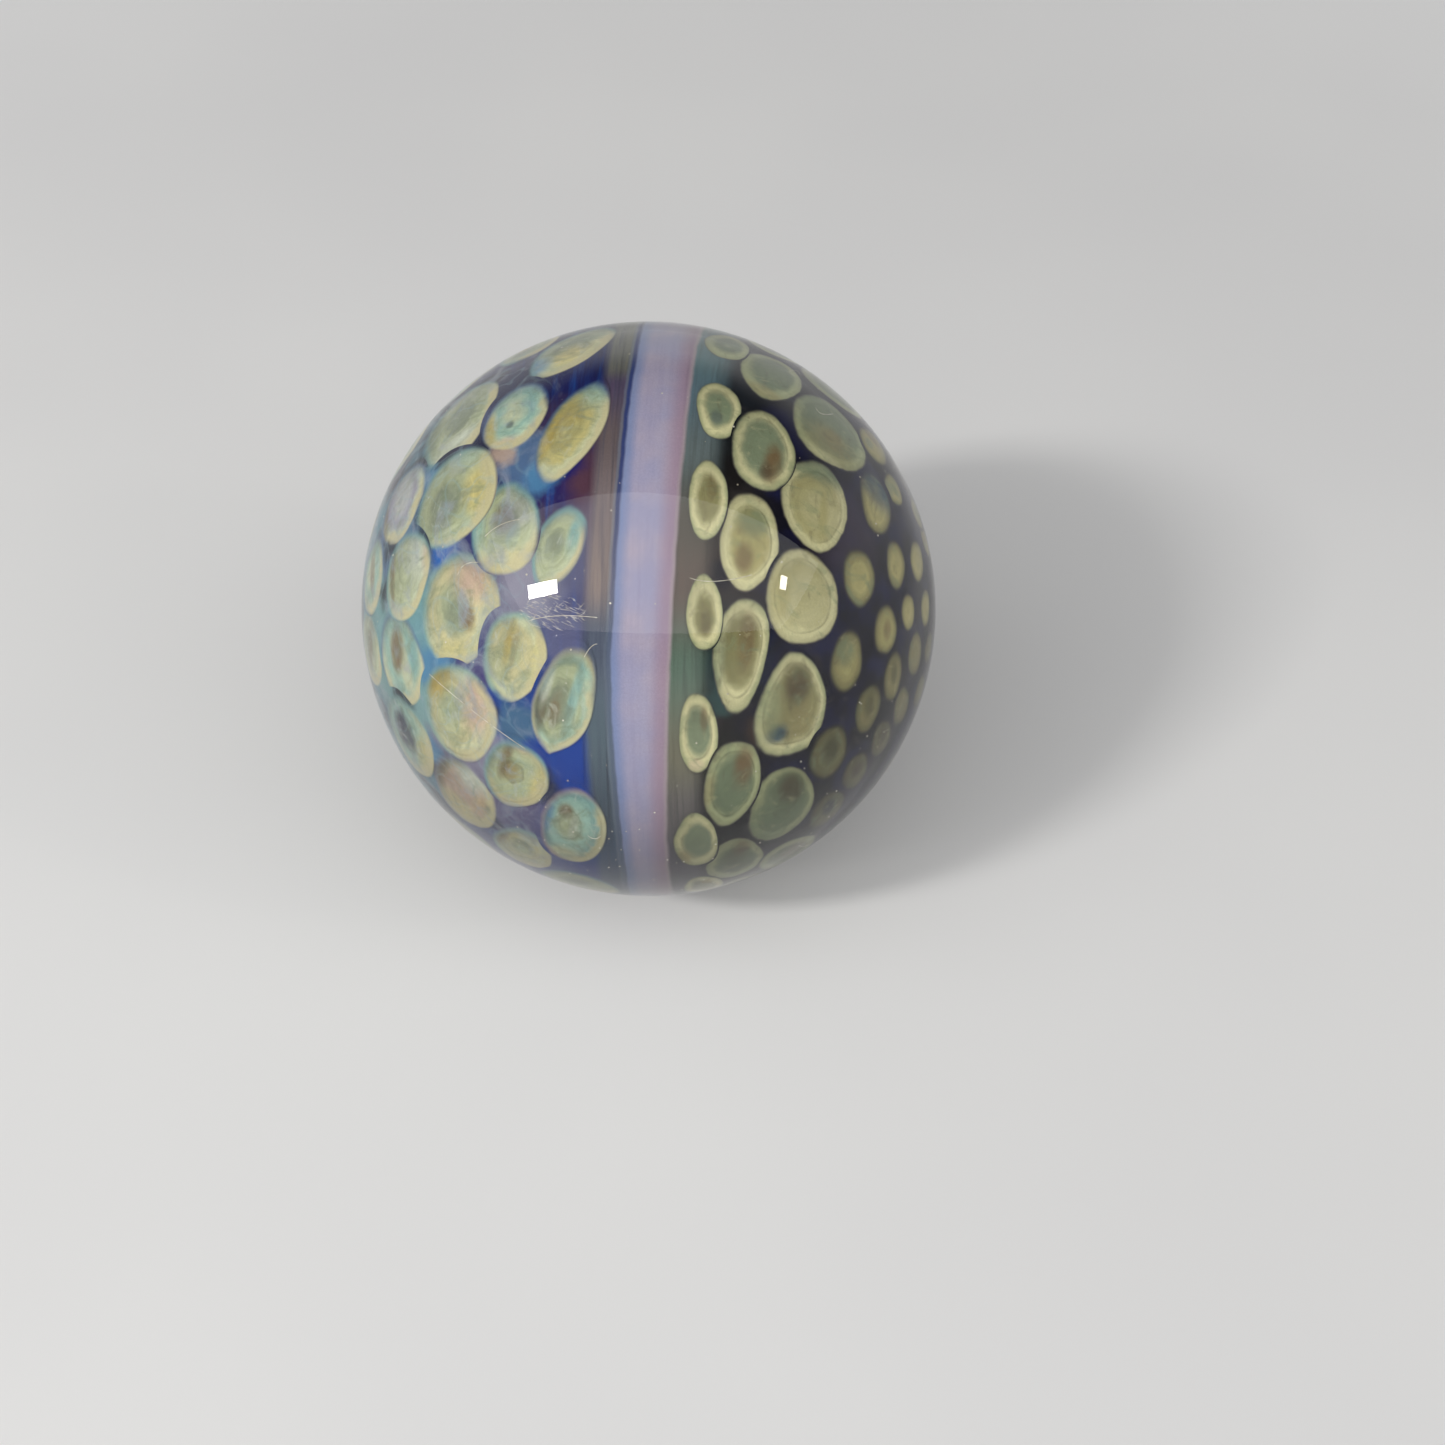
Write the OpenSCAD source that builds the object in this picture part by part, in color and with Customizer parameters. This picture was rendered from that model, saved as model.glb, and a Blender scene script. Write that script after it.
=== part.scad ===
// Encased glass marble: two dotted halves of coloured glass, a lilac band
// wrapped round the join between them, and a thick clear casing over it all.
// The pattern's own axis is X: the fine dots sit on the +X half and the large
// cells on the -X half. The origin is the ball's centre and Z is up.

/* [Casing] */
// Outer diameter of the whole ball
ball_d = 38; // [30:1:50]
// Thickness of the clear glass over the pattern
casing_t = 3; // [2:0.25:4]

/* [Band and wraps] */
// Width of the lilac band
band_w = 3.1; // [2:0.1:4]
// How far the middle of the band lies toward the fine dots
band_x = 0.5; // [0:0.1:1.2]
// Depth of the lilac band under the pattern's surface
band_t = 1.6; // [1:0.1:2.5]
// Width of the thin blue and rose lines that edge the band
line_w = 0.3; // [0.2:0.05:0.5]
// Depth of the thin edge lines
line_t = 0.8; // [0.5:0.1:1.2]
// Width of the slate wrap beside the large cells
slate_w = 1.3; // [0.8:0.1:2]
// Width of the smoky wrap beside the fine dots
smoke_w = 1.7; // [1:0.1:2.4]
// Depth of both wraps
wrap_t = 1.1; // [0.8:0.1:1.6]

/* [Dots] */
// Depth of the pressed dots and cells
dot_t = 1.3; // [1:0.1:1.8]
// Depth of the hearts in the middle of them
heart_t = 0.7; // [0.4:0.1:0.9]
// Width of the cream rim round the heart of a fine dot
rim_w = 0.7; // [0.5:0.05:0.8]
// Width of the turquoise halo round a large cell
halo_w = 0.4; // [0.25:0.05:0.5]
// Size of a large cell's heart as a share of the cell
heart_share = 0.42; // [0.3:0.02:0.55]

/* [Hidden] */

// Radius of the patterned ball under the casing
core_r = ball_d / 2 - casing_t;

// Where each ring round the X axis starts and ends
band_a = band_x - band_w / 2;
band_b = band_x + band_w / 2;
line_a = band_a - line_w;
line_b = band_b + line_w;
slate_a = line_a - slate_w;
smoke_b = line_b + smoke_w;

// Smoothness of the balls and of the dots
ball_fn = 180;
dot_fn = 48;

// Every dot is [latitude, turn, width, height, slant], all in degrees of arc.
// Latitude runs toward +X from the middle, and turn goes round X from the
// front over the top. A sixth value makes the dot a pointed leaf, and tells how
// flat the leaf's two sides are. Each ring is how many dots close it round the
// back, and then the dots that face forward, set by hand.
fine_rings = [
    [8, [[15.5, 121, 8.5, 15, 0], [15.5, 93, 8.5, 15.5, 0], [14.5, 69, 7, 15.5, 0],
         [14.5, 45, 6, 14, 0], [13.5, 19, 6.5, 17, 0], [12.5, -12, 7.5, 19, 0]]],
    [8, [[25.5, 114, 12.5, 20.5, -8], [25.5, 85, 12.5, 20, -5], [23.5, 61, 11.5, 19, 0],
         [22, 36, 10.5, 20, -6], [20.5, 5, 10.5, 21, -8], [20, -25, 10.5, 20, 0]]],
    [7, [[38.5, 133, 15, 16, 0], [40.5, 104, 18, 20.5, 0], [38.5, 75, 15.5, 19, 0],
         [36, 49.5, 16.5, 17.5, 0], [34.5, 22, 13.5, 21, 0], [31, -8, 14, 21, 0],
         [31, -37, 12, 17, 0]]]
];
// A lobe that has run into its neighbour in the third ring
fine_lobe = [28, 22, 7, 9, 0];
// The plain dots that shrink toward the +X end
far_rings = [
    [7, [[55, 90, 10, 14, 0], [51, 57.5, 9.5, 12, 0], [48, 31, 9.5, 12.5, 0],
         [43, 3, 10, 13.5, 0], [41.5, -23, 8.5, 14, 0]]],
    [6, [[63.5, 69.5, 7, 9.5, 0], [60.5, 39.5, 7.5, 10, 0], [54.5, 10.5, 7.5, 11, 0],
         [50, -14.5, 7, 11.5, 0]]],
    [5, [[73, 88, 6.5, 9, 0], [70, 48, 6, 7, 0], [63.5, 16.5, 7, 10.5, 0],
         [58.5, -11, 6.5, 10, 0]]],
    [3, [[80.5, 57, 6, 6.5, 0], [74, 16.5, 7, 9, 0], [66.5, -7.5, 6.5, 10, 0]]],
    [1, [[82.5, -10.5, 6, 6, 0], [74.5, -31, 6, 8, 0]]]
];
// The large cells, from the band out to the -X end
cell_rings = [
    [5, [[-16, 118, 14.5, 25, -25, 0.7], [-14, 87, 12, 26.5, -20, 1.2],
         [-15.5, 58.5, 8.5, 16.5, -18], [-14, 26, 11, 24, -14, 0.8],
         [-13.5, -8, 13, 26, -10], [-13, -37, 15.5, 18, 0]]],
    [6, [[-27, 95.5, 11, 16.5, 0], [-27.5, 64, 12.5, 15.5, 0], [-25.5, 34.5, 10.5, 15, -12],
         [-25.5, 4.5, 11, 15, -15], [-25, -24, 9.5, 17, -15]]],
    [6, [[-42.5, 106, 17, 20, 0], [-42, 76.5, 18, 18.5, 0], [-39.5, 45.5, 17, 18.5, 0],
         [-39.5, 16.5, 15.5, 18.5, -10], [-39, -12.5, 12.5, 20, -12]]],
    [5, [[-59, 90, 13, 14, 0], [-56.5, 57.5, 13, 13.5, 0], [-58.5, 25.5, 14.5, 15, 0],
         [-56, -9, 13, 17, 0]]],
    [3, [[-74, 68, 11.5, 11, 0], [-75, 12, 11.5, 12, 0]]]
];
// Size of the dots round the back as a share of those beside them in front
back_share = 0.86;

// All dots of a ring: the front ones, then the back ones between the last of
// them and the first
function whole_ring(ring) =
    let (front = ring[1],
         last = place(front[len(front) - 1]),
         first = place(front[0]) - [0, 360, 0, 0, 0],
         more = ring[0])
    concat(front, [for (i = [1 : more]) back_dot(last, first, i / (more + 1))]);

// A dot's place, size and slant without its leaf shape
function place(d) = [for (i = [0 : 4]) d[i]];

// A dot some way round the back. Its latitude moves slowly at first, so that
// neighbouring rings keep apart.
function back_dot(last, first, way) =
    let (d = last + (first - last) * way)
    [last[0] + (first[0] - last[0]) * way * way, d[1],
     d[2] * back_share, d[3] * back_share, d[4]];

// The same dot with its outline moved out or in by a width in millimetres
function grown(d, by) =
    let (a = 2 * by / core_r * 180 / PI)
    [d[0], d[1], d[2] + a, d[3] + a, d[4], d[5]];

// The same dot at a share of its size
function shrunk(d, share) = [d[0], d[1], d[2] * share, d[3] * share, d[4], d[5]];

// Half the chord of an arc on the patterned ball
function half_chord(arc) = core_r * sin(arc / 2);

// The patterned ball, or what is left of it under a layer, turned about X
module core_ball(depth = 0) {
    rotate([0, 90, 0])
        sphere(r = core_r - depth, $fn = ball_fn);
}

// The part of space between two planes across X
module slice(a, b) {
    translate([a, -ball_d, -ball_d])
        cube([b - a, 2 * ball_d, 2 * ball_d]);
}

// What a wrap takes out of the patterned ball: all of a slice but its middle
module groove(a, b, depth) {
    difference() {
        slice(a, b);
        core_ball(depth);
    }
}

// A ring of glass round X at the surface of the patterned ball
module wrap(a, b, depth) {
    intersection() {
        core_ball();
        groove(a, b, depth);
    }
}

// A round rod that leans in the oval's long direction, so that the ball's
// surface cuts it to an oval with the given half width and half height
module rod(half_w, half_h, depth) {
    short = min(half_w, half_h);
    long = max(half_w, half_h);
    lean = acos(short / long);
    reach = long * sin(lean) + 0.8;
    below = reach + depth * cos(lean);
    rotate([0, 0, half_w > half_h ? 90 : 0])
        rotate([lean, 0, 0])
            translate([0, 0, -below])
                cylinder(r = short, h = below + reach, $fn = dot_fn);
}

// The rod of an oval dot, or the two rods that cross in a leaf
module dot_rod(d, depth) {
    half_w = half_chord(d[2]);
    half_h = half_chord(d[3]);
    rotate([90 - d[1], 0, 0])
        rotate([0, d[0], 0])
            translate([0, 0, core_r])
                rotate([0, 0, d[4]])
                    if (is_undef(d[5])) {
                        rod(half_w, half_h, depth);
                    } else {
                        leaf_rods(half_w, half_h, d[5], depth);
                    }
}

// Two wide rods side by side, which leave a leaf where they cross
module leaf_rods(half_w, half_h, flat, depth) {
    wide = half_w * (1 + flat);
    tall = half_h / sqrt(1 - pow(flat / (1 + flat), 2));
    intersection() {
        translate([-half_w * flat, 0, 0])
            rod(wide, tall, depth);
        translate([half_w * flat, 0, 0])
            rod(wide, tall, depth);
    }
}

// What a set of dots takes out of the patterned ball, down to a depth. The
// band and its edge lines are laid over any dot that reaches them.
module pockets(dots, depth, a, b) {
    intersection() {
        slice(a, b);
        difference() {
            union() {
                for (d = dots) {
                    dot_rod(d, depth);
                }
            }
            core_ball(depth);
        }
    }
}

module dot_pockets(dots, depth) {
    pockets(dots, depth, line_b, ball_d);
}

module cell_pockets(cells, depth) {
    pockets(cells, depth, -ball_d, line_a);
}

// The dots themselves, flush with the surface of the patterned ball
module dot_pads(dots, depth) {
    intersection() {
        core_ball();
        dot_pockets(dots, depth);
    }
}

module cell_pads(cells, depth) {
    intersection() {
        core_ball();
        cell_pockets(cells, depth);
    }
}

fine_dots = concat([for (r = fine_rings) each whole_ring(r)], [fine_lobe]);
plain_dots = [for (r = far_rings) each whole_ring(r)];
large_cells = [for (r = cell_rings) each whole_ring(r)];

cell_outsides = [for (d = large_cells) grown(d, halo_w)];
cell_middles = [for (d = large_cells) shrunk(d, heart_share)];
dot_middles = [for (d = fine_dots) grown(d, -rim_w)];

// Half of the patterned ball, without the wraps that lie in its surface
module ground(a, b) {
    difference() {
        intersection() {
            core_ball();
            slice(a, b);
        }
        groove(band_a, band_b, band_t);
        groove(line_a, band_a, line_t);
        groove(band_b, line_b, line_t);
        groove(slate_a, line_a, wrap_t);
        groove(line_b, smoke_b, wrap_t);
    }
}

module clear_casing() {
    color("azure", 0.25)
        difference() {
            sphere(d = ball_d, $fn = ball_fn);
            core_ball();
        }
}

module lilac_band() {
    color("#a79bc0")
        wrap(band_a, band_b, band_t);
}

module blue_edge_line() {
    color("#3d62a8")
        wrap(line_a, band_a, line_t);
}

module rose_edge_line() {
    color("#8d6f7c")
        wrap(band_b, line_b, line_t);
}

module slate_wrap() {
    color("#59666e")
        difference() {
            wrap(slate_a, line_a, wrap_t);
            cell_pockets(cell_outsides, dot_t);
        }
}

module smoke_wrap() {
    color("#5c7176")
        difference() {
            wrap(line_b, smoke_b, wrap_t);
            dot_pockets(fine_dots, dot_t);
        }
}

module cobalt_ground() {
    color("#1c3f96")
        difference() {
            ground(-ball_d, band_x);
            cell_pockets(cell_outsides, dot_t);
        }
}

module midnight_ground() {
    color("#191b3c")
        difference() {
            ground(band_x, ball_d);
            dot_pockets(concat(fine_dots, plain_dots), dot_t);
        }
}

module cell_halos() {
    color("#6fa3a6")
        difference() {
            cell_pads(cell_outsides, dot_t);
            cell_pockets(large_cells, dot_t);
        }
}

module cream_cells() {
    color("#b7bc8c")
        difference() {
            cell_pads(large_cells, dot_t);
            cell_pockets(cell_middles, heart_t);
        }
}

module cell_hearts() {
    color("#c7b26a")
        cell_pads(cell_middles, heart_t);
}

module dot_rims() {
    color("#bfb97e")
        difference() {
            dot_pads(fine_dots, dot_t);
            dot_pockets(dot_middles, heart_t);
        }
}

module dot_hearts() {
    color("#7b8059")
        dot_pads(dot_middles, heart_t);
}

module far_dots() {
    color("#6d6f4c")
        dot_pads(plain_dots, dot_t);
}

clear_casing();
lilac_band();
blue_edge_line();
rose_edge_line();
slate_wrap();
smoke_wrap();
cobalt_ground();
midnight_ground();
cell_halos();
cream_cells();
cell_hearts();
dot_rims();
dot_hearts();
far_dots();
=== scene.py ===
"""Looks of the encased glass marble: casing, dotted halves, lilac band, light and camera.

Lengths are metres unless a name ends in _MM. A place on the patterned ball is
(latitude, turn) in degrees: latitude runs toward +X from the middle, and turn goes
round X from the front over the top.
"""

import math
import random
from dataclasses import dataclass

import bpy
import numpy as np
from mathutils import Matrix, Vector


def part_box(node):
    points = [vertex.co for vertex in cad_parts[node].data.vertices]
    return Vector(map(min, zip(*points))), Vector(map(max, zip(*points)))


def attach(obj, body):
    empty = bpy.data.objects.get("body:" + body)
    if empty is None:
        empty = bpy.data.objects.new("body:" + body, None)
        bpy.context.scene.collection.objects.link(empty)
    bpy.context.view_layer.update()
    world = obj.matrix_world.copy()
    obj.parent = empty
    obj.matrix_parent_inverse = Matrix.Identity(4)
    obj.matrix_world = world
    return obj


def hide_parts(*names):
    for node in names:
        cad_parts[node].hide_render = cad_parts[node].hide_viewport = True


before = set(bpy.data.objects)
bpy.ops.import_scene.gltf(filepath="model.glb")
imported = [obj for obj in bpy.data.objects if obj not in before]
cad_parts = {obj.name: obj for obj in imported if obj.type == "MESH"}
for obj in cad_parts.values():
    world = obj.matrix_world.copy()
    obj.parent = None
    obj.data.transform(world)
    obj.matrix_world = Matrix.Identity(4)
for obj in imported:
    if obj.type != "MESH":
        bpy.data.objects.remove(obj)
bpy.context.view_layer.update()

MM = 0.001
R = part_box("clear_casing")[1][0]
RC_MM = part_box("midnight_ground")[1][0] / MM
IOR = 1.47

# Widths and depths of the glasses, as in the CAD model
HALO_MM, RIM_MM = 0.4, 0.7
DOT_DEPTH_MM, HEART_DEPTH_MM = 1.3, 0.7
BAND_DEPTH_MM, LINE_DEPTH_MM, WRAP_DEPTH_MM = 1.6, 0.8, 1.1


def span_mm(node):
    """Where a CAD node starts and ends along X, in millimetres."""
    low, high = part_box(node)
    return low[0] / MM, high[0] / MM


BAND_A, BAND_B = span_mm("lilac_band")
LINE_A, LINE_B = span_mm("blue_edge_line")[0], span_mm("rose_edge_line")[1]
SLATE_A, SMOKE_B = span_mm("slate_wrap")[0], span_mm("smoke_wrap")[1]
MIDDLE = span_mm("cobalt_ground")[1]


# ---------------------------------------------------------------- colours
def srgb(r, g, b):
    """Linear colour with alpha from a colour written as 0 to 255."""
    parts = [c / 255 for c in (r, g, b)]
    return tuple(c / 12.92 if c <= 0.04045 else ((c + 0.055) / 1.055) ** 2.4 for c in parts) + (1.0,)


CELADON = srgb(176, 184, 146)
PALE = srgb(190, 198, 166)
CREAM = srgb(200, 194, 148)
YELLOW = srgb(198, 188, 126)
HONEY = srgb(188, 166, 92)
BROWN = srgb(122, 102, 72)
UMBER = srgb(88, 74, 58)
GREYGREEN = srgb(134, 144, 120)
TURQUOISE = srgb(124, 168, 166)
AQUA = srgb(154, 188, 172)
SKY = srgb(84, 138, 178)
STEEL = srgb(84, 112, 148)
PINK = srgb(190, 166, 146)
LAVENDER = srgb(150, 148, 164)
MAUVE = srgb(118, 108, 128)
SLATE = srgb(66, 78, 92)
WHITE = srgb(196, 202, 186)
INDIGO = srgb(24, 30, 104)
NAVY = srgb(16, 24, 58)
BLACKBLUE = srgb(12, 14, 30)
RIMCREAM = srgb(202, 198, 152)
RIMGREEN = srgb(164, 170, 128)
TAN = srgb(156, 146, 102)
OLIVE = srgb(150, 146, 102)
KHAKI = srgb(180, 172, 116)
SAGE = srgb(122, 136, 106)
TEAL = srgb(136, 148, 118)
DARKTEAL = srgb(36, 76, 100)
DARKOLIVE = srgb(92, 92, 64)
PLUM = srgb(50, 44, 54)
ASH = srgb(74, 70, 70)


# ---------------------------------------------------------------- dots and cells
# Colours of a dot from its middle outward: heart, body, rim, halo
LOOKS = {
    "celadon": (GREYGREEN, CELADON, PALE, TURQUOISE),
    "cream": (CELADON, CREAM, PALE, AQUA),
    "honey": (HONEY, YELLOW, CREAM, AQUA),
    "leaf": (KHAKI, YELLOW, PALE, STEEL),
    "ring": (CELADON, AQUA, TURQUOISE, PINK),
    "brown": (TAN, CELADON, CREAM, TURQUOISE),
    "pink": (PINK, PINK, CREAM, LAVENDER),
    "spiral": (GREYGREEN, CELADON, AQUA, CREAM),
    "slate": (SLATE, AQUA, PALE, TURQUOISE),
    "aqua": (PALE, AQUA, PALE, STEEL),
    "lilac": (LAVENDER, LAVENDER, PALE, STEEL),
    "fine": (OLIVE, RIMCREAM, RIMGREEN, ASH),
    "fine_teal": (TEAL, RIMCREAM, RIMGREEN, ASH),
    "fine_pale": (KHAKI, RIMCREAM, RIMCREAM, ASH),
    "fine_grey": (SAGE, RIMGREEN, RIMGREEN, ASH),
    "plain": (KHAKI, KHAKI, DARKOLIVE, PLUM),
    "plain_dark": (OLIVE, OLIVE, DARKOLIVE, PLUM),
}


@dataclass
class Dot:
    """One dot or cell. Width and height are degrees of arc; centre and blots are shares of them.

    A blot is (x, y, width, height, colour, strength). A bulge is where on the outline it
    lies, in degrees, and how far it stands out as a share of the outline. A leaf comes to
    a point at both ends, or with tip 1 at its upper and with tip -1 at its lower end alone.
    The last four are set when the dot is built: how far its rings lean to the side painted
    lit, how many degrees that side is turned, what sets its rings apart and how light it is
    painted, which darkens the plain dots as painted shade.
    """

    lat: float
    turn: float
    width: float
    height: float
    slant: float = 0
    look: str = "celadon"
    centre: tuple = (0, 0)
    share: float = 0.42
    leaf: float = 0.0
    pear: float = 0.0
    bulge: tuple = (0, 0.0)
    blots: tuple = ()
    tip: int = 0
    lean: float = 0.0
    turned: float = 0.0
    seed: float = 0.5
    tone: float = 1.0


# Each ring is how many dots close it round the back, and its front dots
CELL_RINGS = [
    (5, [
        Dot(-16, 118, 14.5, 26, -25, "celadon", (0.1, -0.1), 0.5, 0.7, tip=1, blots=[
            (0.25, -0.35, 0.5, 0.4, YELLOW, 0.9), (-0.6, -0.7, 0.5, 0.35, SKY, 0.8),
            (0.3, 0.6, 0.5, 0.5, GREYGREEN, 0.6), (0.75, -0.1, 0.3, 0.7, CREAM, 0.7)]),
        Dot(-14, 87, 12.5, 27.5, -20, "leaf", (-0.1, -0.2), 0.62, 1.2, tip=1, blots=[
            (-0.55, -0.3, 0.25, 0.6, HONEY, 0.8), (-0.1, 0.3, 0.4, 0.3, HONEY, 0.6),
            (0.15, 0.75, 0.5, 0.4, AQUA, 0.9), (-0.95, 0.1, 0.28, 0.9, STEEL, 0.9)]),
        Dot(-15.5, 58.5, 9.5, 18, -18, "celadon", (-0.2, 0), 0.4, 0.2, blots=[
            (0.55, 0.5, 0.3, 0.6, TURQUOISE, 0.9), (0.98, 0.4, 0.2, 0.7, PINK, 0.9),
            (-0.3, -0.5, 0.5, 0.5, CELADON, 0.6), (-0.1, 0.75, 0.5, 0.25, PALE, 0.6)]),
        Dot(-14, 26, 11.5, 25, -14, "spiral", (-0.2, -0.1), 0.45, 0.5, tip=-1, blots=[
            (-0.7, -0.35, 0.35, 0.4, UMBER, 0.9), (-0.15, -0.2, 0.2, 0.3, BROWN, 0.7),
            (0.35, 0.0, 0.18, 0.8, TURQUOISE, 0.7), (-0.6, 0.3, 0.18, 0.5, WHITE, 0.6)]),
        Dot(-13.5, -8, 13.5, 27, -10, "ring", (-0.1, 0.15), 0.42, 0.0, 0.05, blots=[
            (-0.2, 0.4, 0.22, 0.16, BROWN, 0.9), (-0.75, 0.2, 0.25, 0.6, SKY, 0.8),
            (0.1, 0.1, 0.12, 0.35, WHITE, 0.5), (0.1, -0.75, 0.6, 0.25, CREAM, 0.8)]),
        Dot(-13, -37, 15.5, 19, 0, "celadon", (0, 0.2), 0.4, blots=[
            (0.0, 0.8, 0.8, 0.25, PALE, 0.8)]),
    ]),
    (6, [
        Dot(-27, 95.5, 12, 17.5, 0, "aqua", (0, -0.1), 0.45, blots=[
            (-0.75, -0.4, 0.25, 0.6, HONEY, 0.9), (-0.1, -0.35, 0.12, 0.1, SLATE, 0.7),
            (0.5, 0.3, 0.4, 0.6, TURQUOISE, 0.5), (-0.3, -0.85, 0.5, 0.2, PINK, 0.8)]),
        Dot(-27.5, 64, 13.5, 17, 0, "celadon", (0, 0.1), 0.4, blots=[
            (-0.05, 0.15, 0.25, 0.3, BROWN, 0.55), (0.3, 0.2, 0.4, 0.4, LAVENDER, 0.5),
            (0.1, -0.7, 0.6, 0.25, CREAM, 0.9), (-0.8, 0.0, 0.25, 0.7, AQUA, 0.8)]),
        Dot(-25.5, 34.5, 11.5, 17, -12, "cream", (0.0, 0.1), 0.35, 0.0, 0.12, blots=[
            (-0.1, 0.25, 0.14, 0.5, HONEY, 0.8), (0.1, 0.15, 0.1, 0.45, BROWN, 0.4),
            (-0.4, -0.5, 0.4, 0.4, CELADON, 0.8), (0.8, 0.1, 0.2, 0.7, YELLOW, 0.8)]),
        Dot(-25.5, 4.5, 12, 16.5, -15, "brown", (0.0, 0.1), 0.35, 0.0, 0.15, blots=[
            (-0.3, 0.25, 0.16, 0.5, BROWN, 0.8), (0.35, 0.0, 0.25, 0.5, CELADON, 0.6),
            (0.75, 0.1, 0.25, 0.6, YELLOW, 0.8), (-0.1, 0.9, 0.5, 0.2, PINK, 0.8)]),
        Dot(-25, -24, 10.5, 19, -15, "cream", (0.1, 0.1), 0.4, blots=[
            (0.1, 0.65, 0.4, 0.3, WHITE, 0.9), (-0.75, 0.0, 0.3, 0.6, BROWN, 0.8),
            (0.0, 0.25, 0.3, 0.12, GREYGREEN, 0.7)]),
    ]),
    (6, [
        Dot(-42.5, 106, 18.5, 22, 0, "celadon", (0.2, 0.0), 0.4, blots=[
            (0.5, 0.3, 0.4, 0.5, GREYGREEN, 0.6), (0.1, -0.7, 0.7, 0.25, WHITE, 0.7),
            (-0.6, 0.2, 0.3, 0.7, SAGE, 0.7), (0.9, -0.3, 0.2, 0.5, YELLOW, 0.8)]),
        Dot(-42, 76.5, 20, 20.5, 0, "celadon", (-0.2, -0.2), 0.4, blots=[
            (0.65, -0.1, 0.35, 0.5, YELLOW, 1.0), (-0.15, 0.0, 0.1, 0.4, SAGE, 0.5),
            (-0.25, -0.4, 0.28, 0.25, GREYGREEN, 0.8), (0.35, 0.75, 0.4, 0.25, AQUA, 0.6)]),
        Dot(-39.5, 45.5, 19, 21, 0, "cream", (0.0, 0.0), 0.45, blots=[
            (0.05, -0.15, 0.3, 0.4, GREYGREEN, 0.9), (0.32, -0.2, 0.16, 0.22, BROWN, 0.9),
            (0.45, 0.5, 0.55, 0.45, PINK, 0.9), (0.0, -0.8, 0.8, 0.22, YELLOW, 0.8)]),
        Dot(-39.5, 16.5, 17, 20.5, -10, "cream", (-0.2, 0.1), 0.4, blots=[
            (-0.6, 0.45, 0.35, 0.45, HONEY, 1.0), (0.55, 0.4, 0.45, 0.6, PINK, 0.95),
            (-0.15, -0.3, 0.3, 0.6, CELADON, 0.8), (0.1, -0.85, 0.6, 0.2, CREAM, 0.9)]),
        Dot(-39, -12.5, 14, 22, -12, "pink", (0, 0.2), 0.45, blots=[
            (0.0, -0.55, 0.6, 0.4, YELLOW, 0.8), (-0.75, 0.0, 0.3, 0.6, BROWN, 0.9),
            (0.2, 0.6, 0.5, 0.35, WHITE, 0.8), (0.5, 0.1, 0.2, 0.3, HONEY, 0.4)]),
    ]),
    (5, [
        Dot(-59, 90, 14.5, 16, 0, "lilac", blots=[
            (0.1, 0.1, 0.4, 0.6, WHITE, 0.6), (-0.75, 0.0, 0.16, 0.8, BROWN, 0.8)]),
        Dot(-56.5, 57.5, 15, 15.5, 0, "celadon", (0.1, 0), blots=[
            (-0.5, 0, 0.12, 0.7, BROWN, 0.9), (0.45, 0.2, 0.45, 0.6, WHITE, 0.7),
            (0.0, -0.1, 0.4, 0.5, CELADON, 0.8), (0.9, 0.2, 0.2, 0.5, PINK, 0.6)]),
        Dot(-58.5, 25.5, 16.5, 17, 0, "aqua", (0.0, 0.1), 0.42, blots=[
            (-0.05, 0.1, 0.26, 0.5, BROWN, 1.0), (0.6, 0.2, 0.2, 0.6, TURQUOISE, 0.8),
            (0.2, -0.8, 0.6, 0.2, TURQUOISE, 0.8), (0.35, -0.35, 0.2, 0.3, CREAM, 0.8)]),
        Dot(-56, -9, 15, 19, 0, "slate", (-0.15, 0.1), 0.5, blots=[
            (0.65, -0.1, 0.3, 0.5, YELLOW, 0.9), (-0.2, 0.0, 0.14, 0.5, NAVY, 0.8)]),
    ]),
    (3, [
        Dot(-74, 68, 13, 13, 0, "aqua", blots=[(0.1, 0.0, 0.2, 0.7, BROWN, 0.7)]),
        Dot(-75, 12, 13, 14, 0, "celadon", blots=[(0.1, 0.0, 0.2, 0.7, BROWN, 0.6)]),
    ]),
]

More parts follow.
